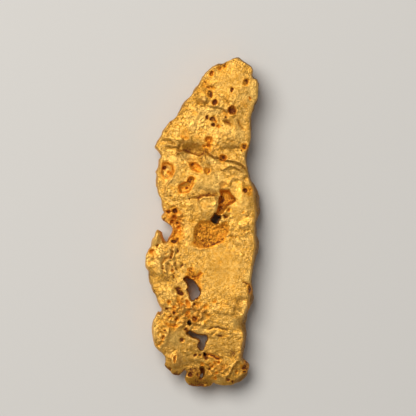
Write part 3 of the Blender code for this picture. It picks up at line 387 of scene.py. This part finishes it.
# Ovals of crumbly ground: (..., height, size of the crumbs).
CRUMBS = [
    (186, 314, 28, 17, 20, 6, 6), (219, 370, 16, 11, 13, 4), (211, 232, 20, 15, 12, 2.4),
    (198, 121, 13, 12, 5, 3.5), (174, 222, 14, 20, 17, 4), (170, 262, 12, 20, 6, 3.5),
    (162, 330, 9, 20, 7, 4), (228, 222, 6, 12, 9, 3.5), (223, 145, 30, 8, 5, 4.5), (236, 365, 12, 14, 5, 4),
    (187, 185, 9, 7, 10, 3), (195, 166, 8, 5, 6, 3, 30), (166, 169, 8, 9, 8, 3.5), (152, 258, 8, 16, 6, 5),
    (222, 330, 22, 8, 5, 5), (192, 350, 12, 8, 5, 4),
]

# Ovals of ground that is worn smooth: (..., how smooth).
WORN = [
    (224, 268, 26, 30, 70), (230, 80, 22, 20, 60), (206, 206, 16, 12, 75), (198, 178, 26, 14, 55),
    (238, 203, 15, 28, 65), (186, 342, 14, 14, 40), (228, 342, 18, 12, 30), (192, 148, 14, 9, 50),
]

# The whole face's soft waves and fine crumbs: height in millimetres, and size.
MOTTLE, MOTTLE_SIZE = 0.032, 8.0
FINE_MOTTLE, FINE_MOTTLE_SIZE = 0.024, 5.0
WARP, WARP_SIZE = 1.3, 4.5  # how far the small features wander from where they are drawn

GOLD = (0.74, 0.375, 0.058)
# Paler grain at random, and the painted highlight on edges.
PALE_GOLD = (0.90, 0.52, 0.12)
# The colour of the painted light.
BRIGHT_GOLD = (0.98, 0.60, 0.15)
# Gold as it looks in shade: painted shade in creases, wrinkles and hollows, with dark dirt, and random
# tarnish.
OLIVE = (0.36, 0.17, 0.018)
# Painted shade on the steep right-hand facet, which faces away from the light.
WALL_SHADE = (0.20, 0.088, 0.011)
# The darkest dirt in pits, and painted shadow in the deepest cracks and along the bottom.
DIRT_AND_SHADE_BROWN = (0.17, 0.045, 0.012)
AMBER = (0.98, 0.40, 0.024)
RUST = (0.58, 0.16, 0.008)
DEEP_RUST = (0.20, 0.045, 0.004)
FLOOR = (0.64, 0.63, 0.615)
GRAIN, GRIT, DENTS, SPECKS, WRINKLES, PATCHES = 3200, 9000, 6500, 3600, 1900, 900  # how fine they are
NOISE_TURN = (0.9, 0.5, 0.7)  # so that flat ground doesn't lie along the noise's grid
NOISE_MIDDLE = 0.5
GRAIN_SHARE, GRIT_SHARE = 0.45, 0.55
RAGGED = 1.6  # how far grain and grit shift the edge of a crease
BREAK = 3.2  # how far they break up the stains
GATHERED = 0.35  # how much more stain and painted shade gathers in a crease
CREASED = (0.35, 1.6)  # how hollow the ground is where the painted crease shade starts and where it is full
EDGED = (-0.3, -1.4)  # the same for the pale edges, partly wear and partly a painted highlight
WRINKLE_WIDTH, WRINKLE_DEPTH = 0.035, 0.25
ROUGH_LOW, ROUGH_HIGH = 0.46, 0.56
CRUST_AND_SHADE_METAL, CRUST_AND_SHADE_ROUGH = 0.85, 0.15  # how metallic rust, dark dirt and painted shade are, and how much rougher
BUMP = 0.07  # in millimetres

# The floor, the light and the camera, in metres.
FLOOR_DROP = 0.00002  # so that the feet don't lie in the floor's own plane
LIGHT_PLACE = (-0.11, 0.12, 0.29)
AIM = (0.00053, 0.00140, 0.0017)  # the middle of the view, half-way up
VIEW_WIDTH = 0.0416  # how much the camera sees there, from side to side


def smooth_ring(points, steps=3):
    """The closed line through the points, with steps points to each stretch, as a Catmull-Rom curve."""
    now = np.asarray(points)
    before, after, last = np.roll(now, 1, 0), np.roll(now, -1, 0), np.roll(now, -2, 0)
    rows = []
    for t in np.arange(steps) / steps:
        square = 2 * before - 5 * now + 4 * after - last
        cube = 3 * now - before - 3 * after + last
        rows.append(now + 0.5 * t * (after - before + t * (square + t * cube)))
    return np.stack(rows, axis=1).reshape(-1, 2)


def to_segment(plan, start, end):
    """Each point's distance to a stretch, its side of it (above 0 on the plan's left) and how far along."""
    along = end - start
    share = np.clip((plan - start) @ along / (along @ along), 0, 1)
    away = plan - start - share[:, None] * along
    side = along[0] * away[:, 1] - along[1] * away[:, 0]
    return np.hypot(away[:, 0], away[:, 1]), side, share


def ring_distance(plan, ring):
    nearest = np.full(len(plan), np.inf)
    for start, end in zip(ring, np.roll(ring, -1, axis=0)):
        nearest = np.minimum(nearest, to_segment(plan, start, end)[0])
    return nearest


def line_distance(plan, points):
    """Each point's signed distance to an open line, and a share that falls to 0 at the line's ends."""
    line = np.array(points)
    nearest = np.full(len(plan), np.inf)
    side = np.zeros(len(plan))
    reach = np.zeros(len(plan))
    for i, (start, end) in enumerate(zip(line[:-1], line[1:])):
        distance, across, share = to_segment(plan, start, end)
        closer = distance < nearest
        nearest = np.where(closer, distance, nearest)
        side = np.where(closer, across, side)
        reach = np.where(closer, i + share, reach)
    ends = np.clip(np.minimum(reach, len(line) - 1 - reach) * 2, 0, 1)
    return np.where(side >= 0, nearest, -nearest), ends


def inside(plan, ring):
    """Whether each point is inside the closed line."""
    x, y = plan[:, 0], plan[:, 1]
    within = np.zeros(len(plan), bool)
    for (x1, y1), (x2, y2) in zip(ring, np.roll(ring, -1, axis=0)):
        if y1 != y2:
            within ^= ((y1 > y) != (y2 > y)) & (x < (x2 - x1) * (y - y1) / (y2 - y1) + x1)
    return within


def smooth_step(value):
    t = np.clip(value, 0, 1)
    return t * t * (3 - 2 * t)


def fade(value, end, edge=1):
    """1 where the value is low, falling to 0 at the end over the edge's width."""
    return smooth_step((end - value) / edge)


def bell(value, width, middle=0):
    """1 in the middle, falling away on both sides."""
    return np.exp(-(((value - middle) / width) ** 2))


def cap(radius, fullness):
    """A round cap, from 1 in the middle to 0 where the radius is 1."""
    return np.clip(1 - radius**2, 0, 1) ** fullness


def rounded(value):
    """A quarter circle's rise, from 0 to 1."""
    return np.sqrt(1 - (1 - np.clip(value, 0, 1)) ** 2)


def ovals(plan, table, count):
    """For each row, how far each point is from the oval's centre, as a share of its size, and its values."""
    for x, y, length, width, *values in table:
        turn = np.radians(values[count] if len(values) > count else 0)
        c, s = np.cos(turn), np.sin(turn)
        u, v = plan[:, 0] - x, plan[:, 1] - y
        yield np.hypot((u * c + v * s) / length, (v * c - u * s) / width), *values[:count]


def domes(plan, forms):
    return sum(height * cap(radius, 2) for radius, height in ovals(plan, forms, 1))


def bowl(radius, depth):
    """A bowl with steep sides and a slightly raised lip."""
    lip = 0.15 * bell(radius, width=0.25, middle=1.15)
    return depth * (lip - cap(radius, fullness=0.9))


def swell(plan, size, seed, octaves=3):
    """Soft uneven ground, from about -1 to 1."""
    places = (Vector((x / size, y / size, seed)) for x, y in plan)
    return np.array([noise.fractal(p, 1.0, 2.0, octaves) for p in places])


def crumbled(plan, size, seed):
    """Rounded crumbs with sharp creases between them, from about -1 in a crease to 1 on a crumb."""
    places = (Vector(((x + 0.6 * y) / size, (y - 0.6 * x) / size, seed)) for x, y in plan)
    return np.array([noise.turbulence(p, 4, True) for p in places]) * 2.2 - 1.0


def bend(plan):
    return BEND * (plan[:, 1] / BEND_REACH) ** 2


def spread(stain, amount, share):
    """Adds a layer, its amount in per cent, over what is there, without passing 1: stains, painted shade,
    painted light and cover all add this way.
    """
    stain += (1 - stain) * np.clip(amount / 100 * share, 0, 1)


def add_lumps(sheet, relief):
    for radius, height, fullness in ovals(sheet, LUMPS, 2):
        relief += height / 100 * cap(radius, fullness)


def add_pits(sheet, relief, rust, dirt_and_shade):
    for radius, depth, pit_rust, pit_dark in ovals(sheet, PITS, 3):
        relief += bowl(radius, depth / 100)
        spread(rust, pit_rust, fade(radius, end=1.4, edge=0.55))
        heart = 0.72 + 0.28 * bell(radius, width=0.45)  # darkest in the middle
        spread(dirt_and_shade, pit_dark, heart * fade(radius, end=1.15, edge=0.5))


def add_basins(sheet, relief, rust, dirt_and_shade):
    for depth, slope, rim_rust, basin_rust, basin_dirt_and_shade, points in BASINS:
        ring = smooth_ring(points)
        away = ring_distance(sheet, ring)
        within = np.where(inside(sheet, ring), away, -np.inf)
        relief -= depth / 100 * smooth_step(within / slope)
        spread(rust, basin_rust, smooth_step(within / 1.5 + 0.3))
        spread(rust, rim_rust, bell(away, width=1.1))
        # Darkens the hollow: partly dirt, partly painted shade.
        spread(dirt_and_shade, basin_dirt_and_shade, smooth_step(within / 1.2 + 0.3))


def add_ledges(sheet, relief, dirt_and_shade):
    for height, fading, ledge_shade, points in LEDGES:
        across, ends = line_distance(sheet, points)
        away = -across  # above 0 on the left, because the sheet's y goes down
        step = smooth_step(away / 1.5 + 0.4) * np.exp(-np.maximum(away, 0) / fading)
        lip = 0.2 * bell(away, width=1.2, middle=1)
        relief += ends * (height / 100) * (step + lip)
        # Painted shade along the low foot of the step.
        spread(dirt_and_shade, ledge_shade, ends * bell(away, width=1.2, middle=-0.9))


def add_creases(sheet, relief, rust, dirt_and_shade):
    for depth, width, crease_rust, crease_dirt_and_shade, points in CREASES:
        away, ends = line_distance(sheet, points)
        relief -= ends * (depth / 100) * bell(away, width)
        spread(rust, crease_rust, ends * bell(away / width, width=1.8))
        # Darkens the crease: partly dirt, partly painted shade.
        spread(dirt_and_shade, crease_dirt_and_shade, ends * bell(away, width))


def add_ridges(sheet, relief):
    for height, width, points in RIDGES:
        away, ends = line_distance(sheet, points)
        relief += ends * (height / 100) * bell(away, width)


def add_stains_and_shade(sheet, rust, dirt_and_shade):
    for radius, stain_rust, stain_dirt_and_shade in ovals(sheet, STAINS_AND_SHADE, 2):
        share = fade(radius, end=1.15)
        spread(rust, stain_rust, share)
        # The dark share is partly dirt and partly painted shade.
        spread(dirt_and_shade, stain_dirt_and_shade, share)


def add_crumbs(sheet, relief):
    for i, (radius, height, size) in enumerate(ovals(sheet, CRUMBS, 2)):
        near = np.flatnonzero(radius < 1)
        share = fade(radius[near], end=1, edge=0.4)
        relief[near] += share * (height / 100) * crumbled(sheet[near], size, seed=i + 0.5)


def covered(sheet, table, end):
    """How far the table's ovals cover each point, from 0 to 1."""
    cover = np.zeros(len(sheet))
    for radius, share in ovals(sheet, table, 1):
        spread(cover, share, fade(radius, end))
    return cover


def on_sheet(plan):
    return SHEET_ORIGIN + plan * SHEET_SCALE


def fine_relief(plan):
    """The small features' relief, their stains of rust, their dark dirt and painted shade, and how rough the
    ground is left.
    """
    sheet = on_sheet(plan)
    warps = [swell(sheet, WARP_SIZE, seed, octaves=2) for seed in (31.4, 47.4)]
    sheet += WARP * np.stack(warps, axis=1)
    rough = 1 - covered(sheet, WORN, end=1.3)
    waves = MOTTLE * swell(sheet, MOTTLE_SIZE, seed=3.3)
    relief = rough * (waves + FINE_MOTTLE * crumbled(sheet, FINE_MOTTLE_SIZE, seed=7.37))
    rust, dirt_and_shade = np.zeros(len(plan)), np.zeros(len(plan))
    add_stains_and_shade(sheet, rust, dirt_and_shade)
    add_lumps(sheet, relief)
    add_basins(sheet, relief, rust, dirt_and_shade)
    add_ledges(sheet, relief, dirt_and_shade)
    add_creases(sheet, relief, rust, dirt_and_shade)
    add_ridges(sheet, relief)
    add_pits(sheet, relief, rust, dirt_and_shade)
    add_crumbs(sheet, relief)
    return relief, rust, dirt_and_shade, rough


def face_heights(plan, outer):
    height = FACE_HEIGHT + CROWN * smooth_step(outer / CROWN_REACH) + bend(plan)
    return height + domes(plan, FORMS) + fine_relief(plan)[0]


def back_heights(plan):
    height = BACK_HEIGHT + bend(plan) + BACK_GRAIN * swell(plan, BACK_GRAIN_SIZE, seed=8.0)
    height += domes(plan, BACK_FORMS)
    height -= sum(bowl(radius, depth) for radius, depth in ovals(plan, BACK_PITS, 1))
    height -= domes(plan, FEET)
    return np.maximum(height, 0)


def facet_share(plan):
    return smooth_step((plan[:, 0] - FACET_FROM_X) / (FACET_TO_X - FACET_FROM_X))


def across_facet(plan, outer):
    """How far in from the outline each point is, in facet widths."""
    return outer / np.interp(plan[:, 1], FACET_Y, FACET_WIDTH)


def rim_distances(plan, rims):
    """Each plan point's distance to the outline and to the nearest hole."""
    outer, *holes = [ring_distance(plan, rim) for rim in rims]
    return outer, np.min(holes, axis=0)


def raised_heights(plan, rims):
    """The heights of the upper and the lower surface at each plan point."""
    outer, hole = rim_distances(plan, rims)
    facet = facet_share(plan)
    sloped = np.clip(across_facet(plan, outer), 0, 1) ** FACET_FULLNESS
    face_rise = facet * sloped + (1 - facet) * rounded(outer / FACE_ROUNDING)
    face_rise *= rounded(hole / HOLE_ROUNDING)
    back_rise = rounded(outer / BACK_ROUNDING) * rounded(hole / HOLE_ROUNDING)
    rim = RIM_HEIGHT + bend(plan) + RIM_WAVE * swell(plan, RIM_WAVE_SIZE, seed=5.0, octaves=1)
    low = rim - back_rise * (rim - back_heights(plan))
    face = np.maximum(face_heights(plan, outer), low + LEAST_WALL)
    return rim + face_rise * (face - rim), low


def new_object(name, data):
    made = bpy.data.objects.new(name, data)
    bpy.context.scene.collection.objects.link(made)
    return made


def evaluated_mesh(obj):
    graph = bpy.context.evaluated_depsgraph_get()
    return bpy.data.meshes.new_from_object(obj.evaluated_get(graph))


def with_modifier(obj, kind, **settings):
    """Replaces the object's mesh by what one modifier makes of it."""
    modifier = obj.modifiers.new(kind.title(), kind)
    for name, value in settings.items():
        setattr(modifier, name, value)
    made = evaluated_mesh(obj)
    obj.modifiers.clear()
    obj.data = made


def flat_sheet(rims):
    """The plan as a flat sheet with its holes, as a mesh object."""
    curve = bpy.data.curves.new("plan", "CURVE")
    curve.dimensions = "2D"
    curve.fill_mode = "BOTH"
    curve.extrude = SHEET_HALF * MM
    for rim in rims:
        spline = curve.splines.new("POLY")
        spline.points.add(len(rim) - 1)
        for point, (x, y) in zip(spline.points, rim * MM):
            point.co = (x, y, 0, 1)
        spline.use_cyclic_u = True
    drawn = new_object("plan", curve)
    sheet = new_object("gold_surface", evaluated_mesh(drawn))
    bpy.data.objects.remove(drawn)
    weld(sheet.data)
    return sheet


def weld(mesh):
    """Joins the sheet's two flat sides to its edge."""
    work = bmesh.new()
    work.from_mesh(mesh)
    bmesh.ops.remove_doubles(work, verts=work.verts, dist=0.001 * MM)
    bmesh.ops.recalc_face_normals(work, faces=work.faces)
    work.to_mesh(mesh)
    work.free()


def island(start):
    """All the vertices that edges join to this one."""
    found = {start}
    front = [start]
    while front:
        near = {edge.other_vert(vert) for vert in front for edge in vert.link_edges}
        front = near - found
        found |= front
    return found


def drop_specks(mesh):
    """Keeps the body, without the specks that remeshing can leave in a narrow pit."""
    work = bmesh.new()
    work.from_mesh(mesh)
    left = set(work.verts)
    islands = []
    while left:
        islands.append(island(next(iter(left))))
        left -= islands[-1]
    islands.sort(key=len)
    for speck in islands[:-1]:
        bmesh.ops.delete(work, geom=list(speck), context="VERTS")
    work.to_mesh(mesh)
    work.free()


def vectors_of(mesh, name):
    flat = np.empty(len(mesh.vertices) * 3)
    mesh.vertices.foreach_get(name, flat)
    return flat.reshape(-1, 3)


def points_of(mesh):
    return vectors_of(mesh, "co") / MM


def move_points(mesh, points):
    mesh.vertices.foreach_set("co", (points * MM).ravel())
    mesh.update()


def raise_sheet(sheet, rims):
    """Turns the flat sheet into the nugget's two surfaces."""
    points = points_of(sheet.data)
    high, low = raised_heights(points[:, :2], rims)
    share = np.clip(points[:, 2] / SHEET_HALF, -1, 1) / 2 + 0.5
    points[:, 2] = low + share * (high - low)
    move_points(sheet.data, points)


def rugged(points, normals):
    """How far each point of the belly and of the steep sides moves out. The face keeps its place."""
    rim = RIM_HEIGHT + bend(points[:, :2])
    below = RUGGED * fade(points[:, 2], end=rim, edge=0.6)
    steep = WALL_RUGGED * fade(np.abs(normals[:, 2]), end=0.8, edge=0.4)
    values = np.zeros(len(points))
    for i in np.flatnonzero(below + steep):
        swelling = noise.fractal(Vector(points[i] / RUGGED_SIZE), 0.8, 2.0, 4)
        values[i] = below[i] * swelling + steep[i] * (swelling - 0.3)
    return values


def roughen(mesh):
    points = points_of(mesh)
    normals = vectors_of(mesh, "normal")
    points += normals * rugged(points, normals)[:, None]
    points[:, 2] = np.maximum(points[:, 2], 0)
    move_points(mesh, points)


def keep(mesh, name, values):
    """Keeps a number for each point, for the material."""
    mesh.attributes.new(name, "FLOAT", "POINT").data.foreach_set("value", values)


# Keeps the stains, the painted shade and the painted light for the material.
def keep_stains_and_painted_light(mesh, rims):
    points = points_of(mesh)
    plan = points[:, :2]
    _, rust, dirt_and_shade, rough = fine_relief(plan)
    outer, _ = rim_distances(plan, rims)
    below_rim = RIM_HEIGHT + bend(plan) - points[:, 2]
    on_face = fade(below_rim, end=0.4, edge=0.6)
    keep(mesh, "rust", rust * on_face)
    # Dark dirt and painted shade.
    keep(mesh, "dirt_and_shade", dirt_and_shade * on_face)
    # Painted shade on the steep right-hand facet.
    keep(mesh, "wall_shade", facet_share(plan) * fade(across_facet(plan, outer), end=1.3))
    keep(mesh, "rough", rough)
    # Painted light: brighter ground and highlights on rims and lumps.
    keep(mesh, "painted_light", covered(on_sheet(plan), PAINTED_LIGHT, end=1.25) * on_face)


def keep_curvature(mesh):
    """Keeps how hollow the finished surface is round each point: above 0 in a crease, below 0 on an edge."""
    ends = np.empty(len(mesh.edges) * 2, dtype=np.int64)
    mesh.edges.foreach_get("vertices", ends)
    near, far = np.concatenate([ends.reshape(-1, 2), ends.reshape(-1, 2)[:, ::-1]]).T
    points, normals = points_of(mesh), vectors_of(mesh, "normal")
    way = points[far] - points[near]
    rise = (way * normals[near]).sum(axis=1) / (way**2).sum(axis=1)
    count = np.bincount(near, minlength=len(points))
    hollow = np.bincount(near, np.clip(rise, -MOST_CURVED, MOST_CURVED), len(points)) / count
    for _ in range(CURVATURE_SMOOTHING):
        hollow = (hollow + np.bincount(near, hollow[far], len(points)) / count) / 2
    keep(mesh, "hollow", hollow)


def place(mesh):
    """Sets the worn feet flat on the ground, and the surface in the middle of the CAD solid's footprint."""
    points = points_of(mesh)
    points[:, 2] = np.where(points[:, 2] < FOOT_SNAP, 0, points[:, 2])
    low, high = points.min(axis=0), points.max(axis=0)
    points[:, :2] -= (low + high)[:2] / 2
    move_points(mesh, points)


def nugget_surface():
    rims = [smooth_ring(np.array(ring) / 100) for ring in [OUTLINE, *HOLES]]
    nugget = flat_sheet(rims)
    with_modifier(nugget, "REMESH", mode="VOXEL", voxel_size=SHEET_VOXEL * MM)
    raise_sheet(nugget, rims)
    with_modifier(nugget, "REMESH", mode="VOXEL", voxel_size=BODY_VOXEL * MM)
    drop_specks(nugget.data)
    roughen(nugget.data)
    triangles = 2 * len(nugget.data.polygons)
    if triangles > MOST_TRIANGLES:
        with_modifier(nugget, "DECIMATE", ratio=MOST_TRIANGLES / triangles)
    keep_stains_and_painted_light(nugget.data, rims)
    keep_curvature(nugget.data)
    place(nugget.data)
    nugget.data.materials.clear()
    nugget.data.materials.append(gold_material())
    nugget.data.shade_smooth()
    return nugget


class Shader:
    """A material's nodes, added one at a time."""

    def __init__(self, name):
        self.material = bpy.data.materials.new(name)
        self.material.use_nodes = True
        self.tree = self.material.node_tree

    def put(self, socket, value):
        if hasattr(value, "is_output"):
            self.tree.links.new(value, socket)
        else:
            socket.default_value = value

    def fill(self, node, inputs):
        """Links or sets a node's inputs, whose names have _ for each space."""
        for name, value in inputs.items():
            self.put(node.inputs[name.replace("_", " ")], value)

    def finish(self, **looks):
        self.fill(self.tree.nodes["Principled BSDF"], looks)
        return self.material

    def node(self, kind, settings=None, **inputs):
        made = self.tree.nodes.new(kind)
        for name, value in (settings or {}).items():
            setattr(made, name, value)
        self.fill(made, inputs)
        return made

    def attribute(self, name):
        return self.node("ShaderNodeAttribute", {"attribute_name": name}).outputs["Fac"]

    def noise(self, scale, detail, roughness, distortion=0.0):
        where = self.node("ShaderNodeTexCoord").outputs["Object"]
        where = self.node("ShaderNodeMapping", Vector=where, Rotation=NOISE_TURN).outputs["Vector"]
        made = self.node("ShaderNodeTexNoise", Vector=where, Scale=scale, Detail=detail, Roughness=roughness,
                         Distortion=distortion)
        return made.outputs["Fac"]

    def math(self, operation, first, second=0.0, clamp=False):
        made = self.node("ShaderNodeMath", {"operation": operation, "use_clamp": clamp})
        self.put(made.inputs[0], first)
        self.put(made.inputs[1], second)
        return made.outputs[0]

    def plus(self, first, second):
        return self.math("ADD", first, second)

    def times(self, first, second, clamp=False):
        return self.math("MULTIPLY", first, second, clamp)

    def span(self, value, start, full, at_start=0.0, at_full=1.0):
        """A soft rise from where the value is at the start to where it is full."""
        made = self.node("ShaderNodeMapRange", {"interpolation_type": "SMOOTHSTEP"}, Value=value,
                         From_Min=start, From_Max=full, To_Min=at_start, To_Max=at_full)
        return made.outputs[0]

    def mix(self, share, first, second):
        made = self.node("ShaderNodeMix", {"data_type": "RGBA"})
        self.put(made.inputs["Factor"], share)
        for socket, value in [(made.inputs[6], first), (made.inputs[7], second)]:
            self.put(socket, (*value, 1.0) if isinstance(value, tuple) else value)
        return made.outputs[2]


class Gold(Shader):
    """The nugget's metal. It reads what the surface keeps: rust, dark dirt with painted shade, painted shade
    on the right-hand facet, rough, painted light and hollow.
    """

    def __init__(self):
        super().__init__("nugget_gold")
        self.grain = self.noise(GRAIN, detail=4, roughness=0.65)
        self.grit = self.noise(GRIT, detail=3, roughness=0.6)
        self.uneven = self.plus(self.times(self.grain, GRAIN_SHARE), self.times(self.grit, GRIT_SHARE))
        ragged = self.times(self.math("SUBTRACT", self.uneven, NOISE_MIDDLE), RAGGED)
        self.broken = self.plus(1.0, self.times(ragged, BREAK))
        lines = self.noise(WRINKLES, detail=3, roughness=0.5, distortion=1.2)
        lines = self.math("ABSOLUTE", self.math("SUBTRACT", lines, NOISE_MIDDLE))
        self.wrinkled = self.span(lines, WRINKLE_WIDTH, 0.0)
        self.hollow = self.attribute("hollow")
        self.creased = self.span(self.plus(self.hollow, ragged), *CREASED)
        gathered = self.plus(self.broken, self.times(self.creased, GATHERED))
        self.rusty = self.times(self.attribute("rust"), gathered, clamp=True)
        self.dirty_and_shaded = self.times(self.attribute("dirt_and_shade"), gathered, clamp=True)

    def colour(self):
        """Gold and the layers on it: each one's share, how strong it is, and its colour."""
        tarnished = self.times(self.span(self.grit, 0.52, 0.40), self.span(self.grain, 0.56, 0.36))
        specks = self.span(self.noise(SPECKS, detail=2, roughness=0.5), 0.32, 0.26)
        deep = self.times(self.span(self.rusty, 0.5, 0.9), self.span(self.uneven, 0.55, 0.42))
        layers = [
            (self.span(self.grain, 0.42, 0.58), 1, PALE_GOLD),
            (tarnished, 0.6, OLIVE),
            # Painted shade in the fine wrinkles.
            (self.wrinkled, 0.3, OLIVE),
            (self.span(self.noise(PATCHES, detail=4, roughness=0.6), 0.52, 0.72), 0.35, AMBER),
            (self.times(specks, self.attribute("rough")), 0.8, DEEP_RUST),
            # Painted light.
            (self.times(self.attribute("painted_light"), self.broken), 1, BRIGHT_GOLD),
            # Paler convex edges: partly wear, partly a painted highlight.
            (self.span(self.hollow, *EDGED), 0.6, PALE_GOLD),
            # Painted shade on the right-hand facet.
            (self.times(self.attribute("wall_shade"), self.broken), 1, WALL_SHADE),
            # Painted shade in creases and hollows.
            (self.creased, 0.7, OLIVE),
            # Dark dirt and painted shade.
            (self.dirty_and_shaded, 1.5, OLIVE),
            (self.rusty, 1.3, AMBER),
            (self.span(self.rusty, 0.66, 1.0), 0.9, RUST),
            (deep, 1, DEEP_RUST),
            # The darkest dirt and painted shadow.
            (self.span(self.dirty_and_shaded, 0.35, 0.85), 1, DIRT_AND_SHADE_BROWN),
        ]
        colour = GOLD
        for share, strength, over in layers:
            colour = self.mix(self.times(share, strength, clamp=True), colour, over)
        return colour

    def bump(self):
        dents = self.noise(DENTS, detail=3, roughness=0.5)
        height = self.math("SUBTRACT", dents, self.times(self.wrinkled, WRINKLE_DEPTH))
        height = self.times(height, self.attribute("rough"))
        return self.node("ShaderNodeBump", Strength=1.0, Distance=BUMP * MM, Height=height).outputs[0]


def gold_material():
    gold = Gold()
    # Rust, dark dirt and painted shade make the metal duller and rougher.
    crust_and_shade = gold.math("MAXIMUM", gold.rusty, gold.span(gold.dirty_and_shaded, 0.2, 0.8))
    rough = gold.span(gold.uneven, 0.35, 0.65, ROUGH_LOW, ROUGH_HIGH)
    return gold.finish(
        Base_Color=gold.colour(),
        Metallic=gold.span(crust_and_shade, 0.0, 1.0, 1.0, CRUST_AND_SHADE_METAL),
        Roughness=gold.plus(rough, gold.times(crust_and_shade, CRUST_AND_SHADE_ROUGH)),
        Normal=gold.bump(),
    )


def floor():
    work = bmesh.new()
    bmesh.ops.create_grid(work, x_segments=1, y_segments=1, size=0.6)
    mesh = bpy.data.meshes.new("floor")
    work.to_mesh(mesh)
    work.free()
    mesh.materials.append(Shader("floor").finish(Base_Color=(*FLOOR, 1.0), Roughness=0.9))
    ground = new_object("floor", mesh)
    ground.location.z = -FLOOR_DROP


def studio():
    """One soft round light up on the left, and an even pale sky."""
    light = bpy.data.lights.new("key", "AREA")
    light.shape = "DISK"
    light.size = 0.24
    light.energy = 1.06
    light.color = (1.0, 0.97, 0.92)
    lamp = new_object("key", light)
    lamp.location = LIGHT_PLACE
    lamp.rotation_euler = (-Vector(LIGHT_PLACE)).to_track_quat("-Z", "Y").to_euler()
    world = bpy.data.worlds.new("studio")
    world.use_nodes = True
    background = world.node_tree.nodes["Background"]
    background.inputs["Color"].default_value = (1.0, 0.98, 0.95, 1.0)
    background.inputs["Strength"].default_value = 0.25
    bpy.context.scene.world = world
    bpy.context.scene.view_settings.view_transform = "Standard"


def camera():
    lens = bpy.data.cameras.new("camera")
    lens.lens = 400
    lens.sensor_width = 36
    lens.clip_end = 10
    eye = new_object("camera", lens)
    x, y, z = AIM
    eye.location = (x, y, z + VIEW_WIDTH * lens.lens / lens.sensor_width)
    bpy.context.scene.camera = eye


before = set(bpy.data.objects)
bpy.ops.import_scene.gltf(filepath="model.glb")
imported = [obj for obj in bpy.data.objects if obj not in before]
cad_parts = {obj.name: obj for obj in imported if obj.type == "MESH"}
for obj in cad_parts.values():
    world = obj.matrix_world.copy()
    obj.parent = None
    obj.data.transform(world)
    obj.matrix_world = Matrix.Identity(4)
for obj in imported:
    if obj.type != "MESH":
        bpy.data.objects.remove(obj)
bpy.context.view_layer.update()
nugget = nugget_surface()
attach(nugget, "root")
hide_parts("nugget")
floor()
studio()
camera()
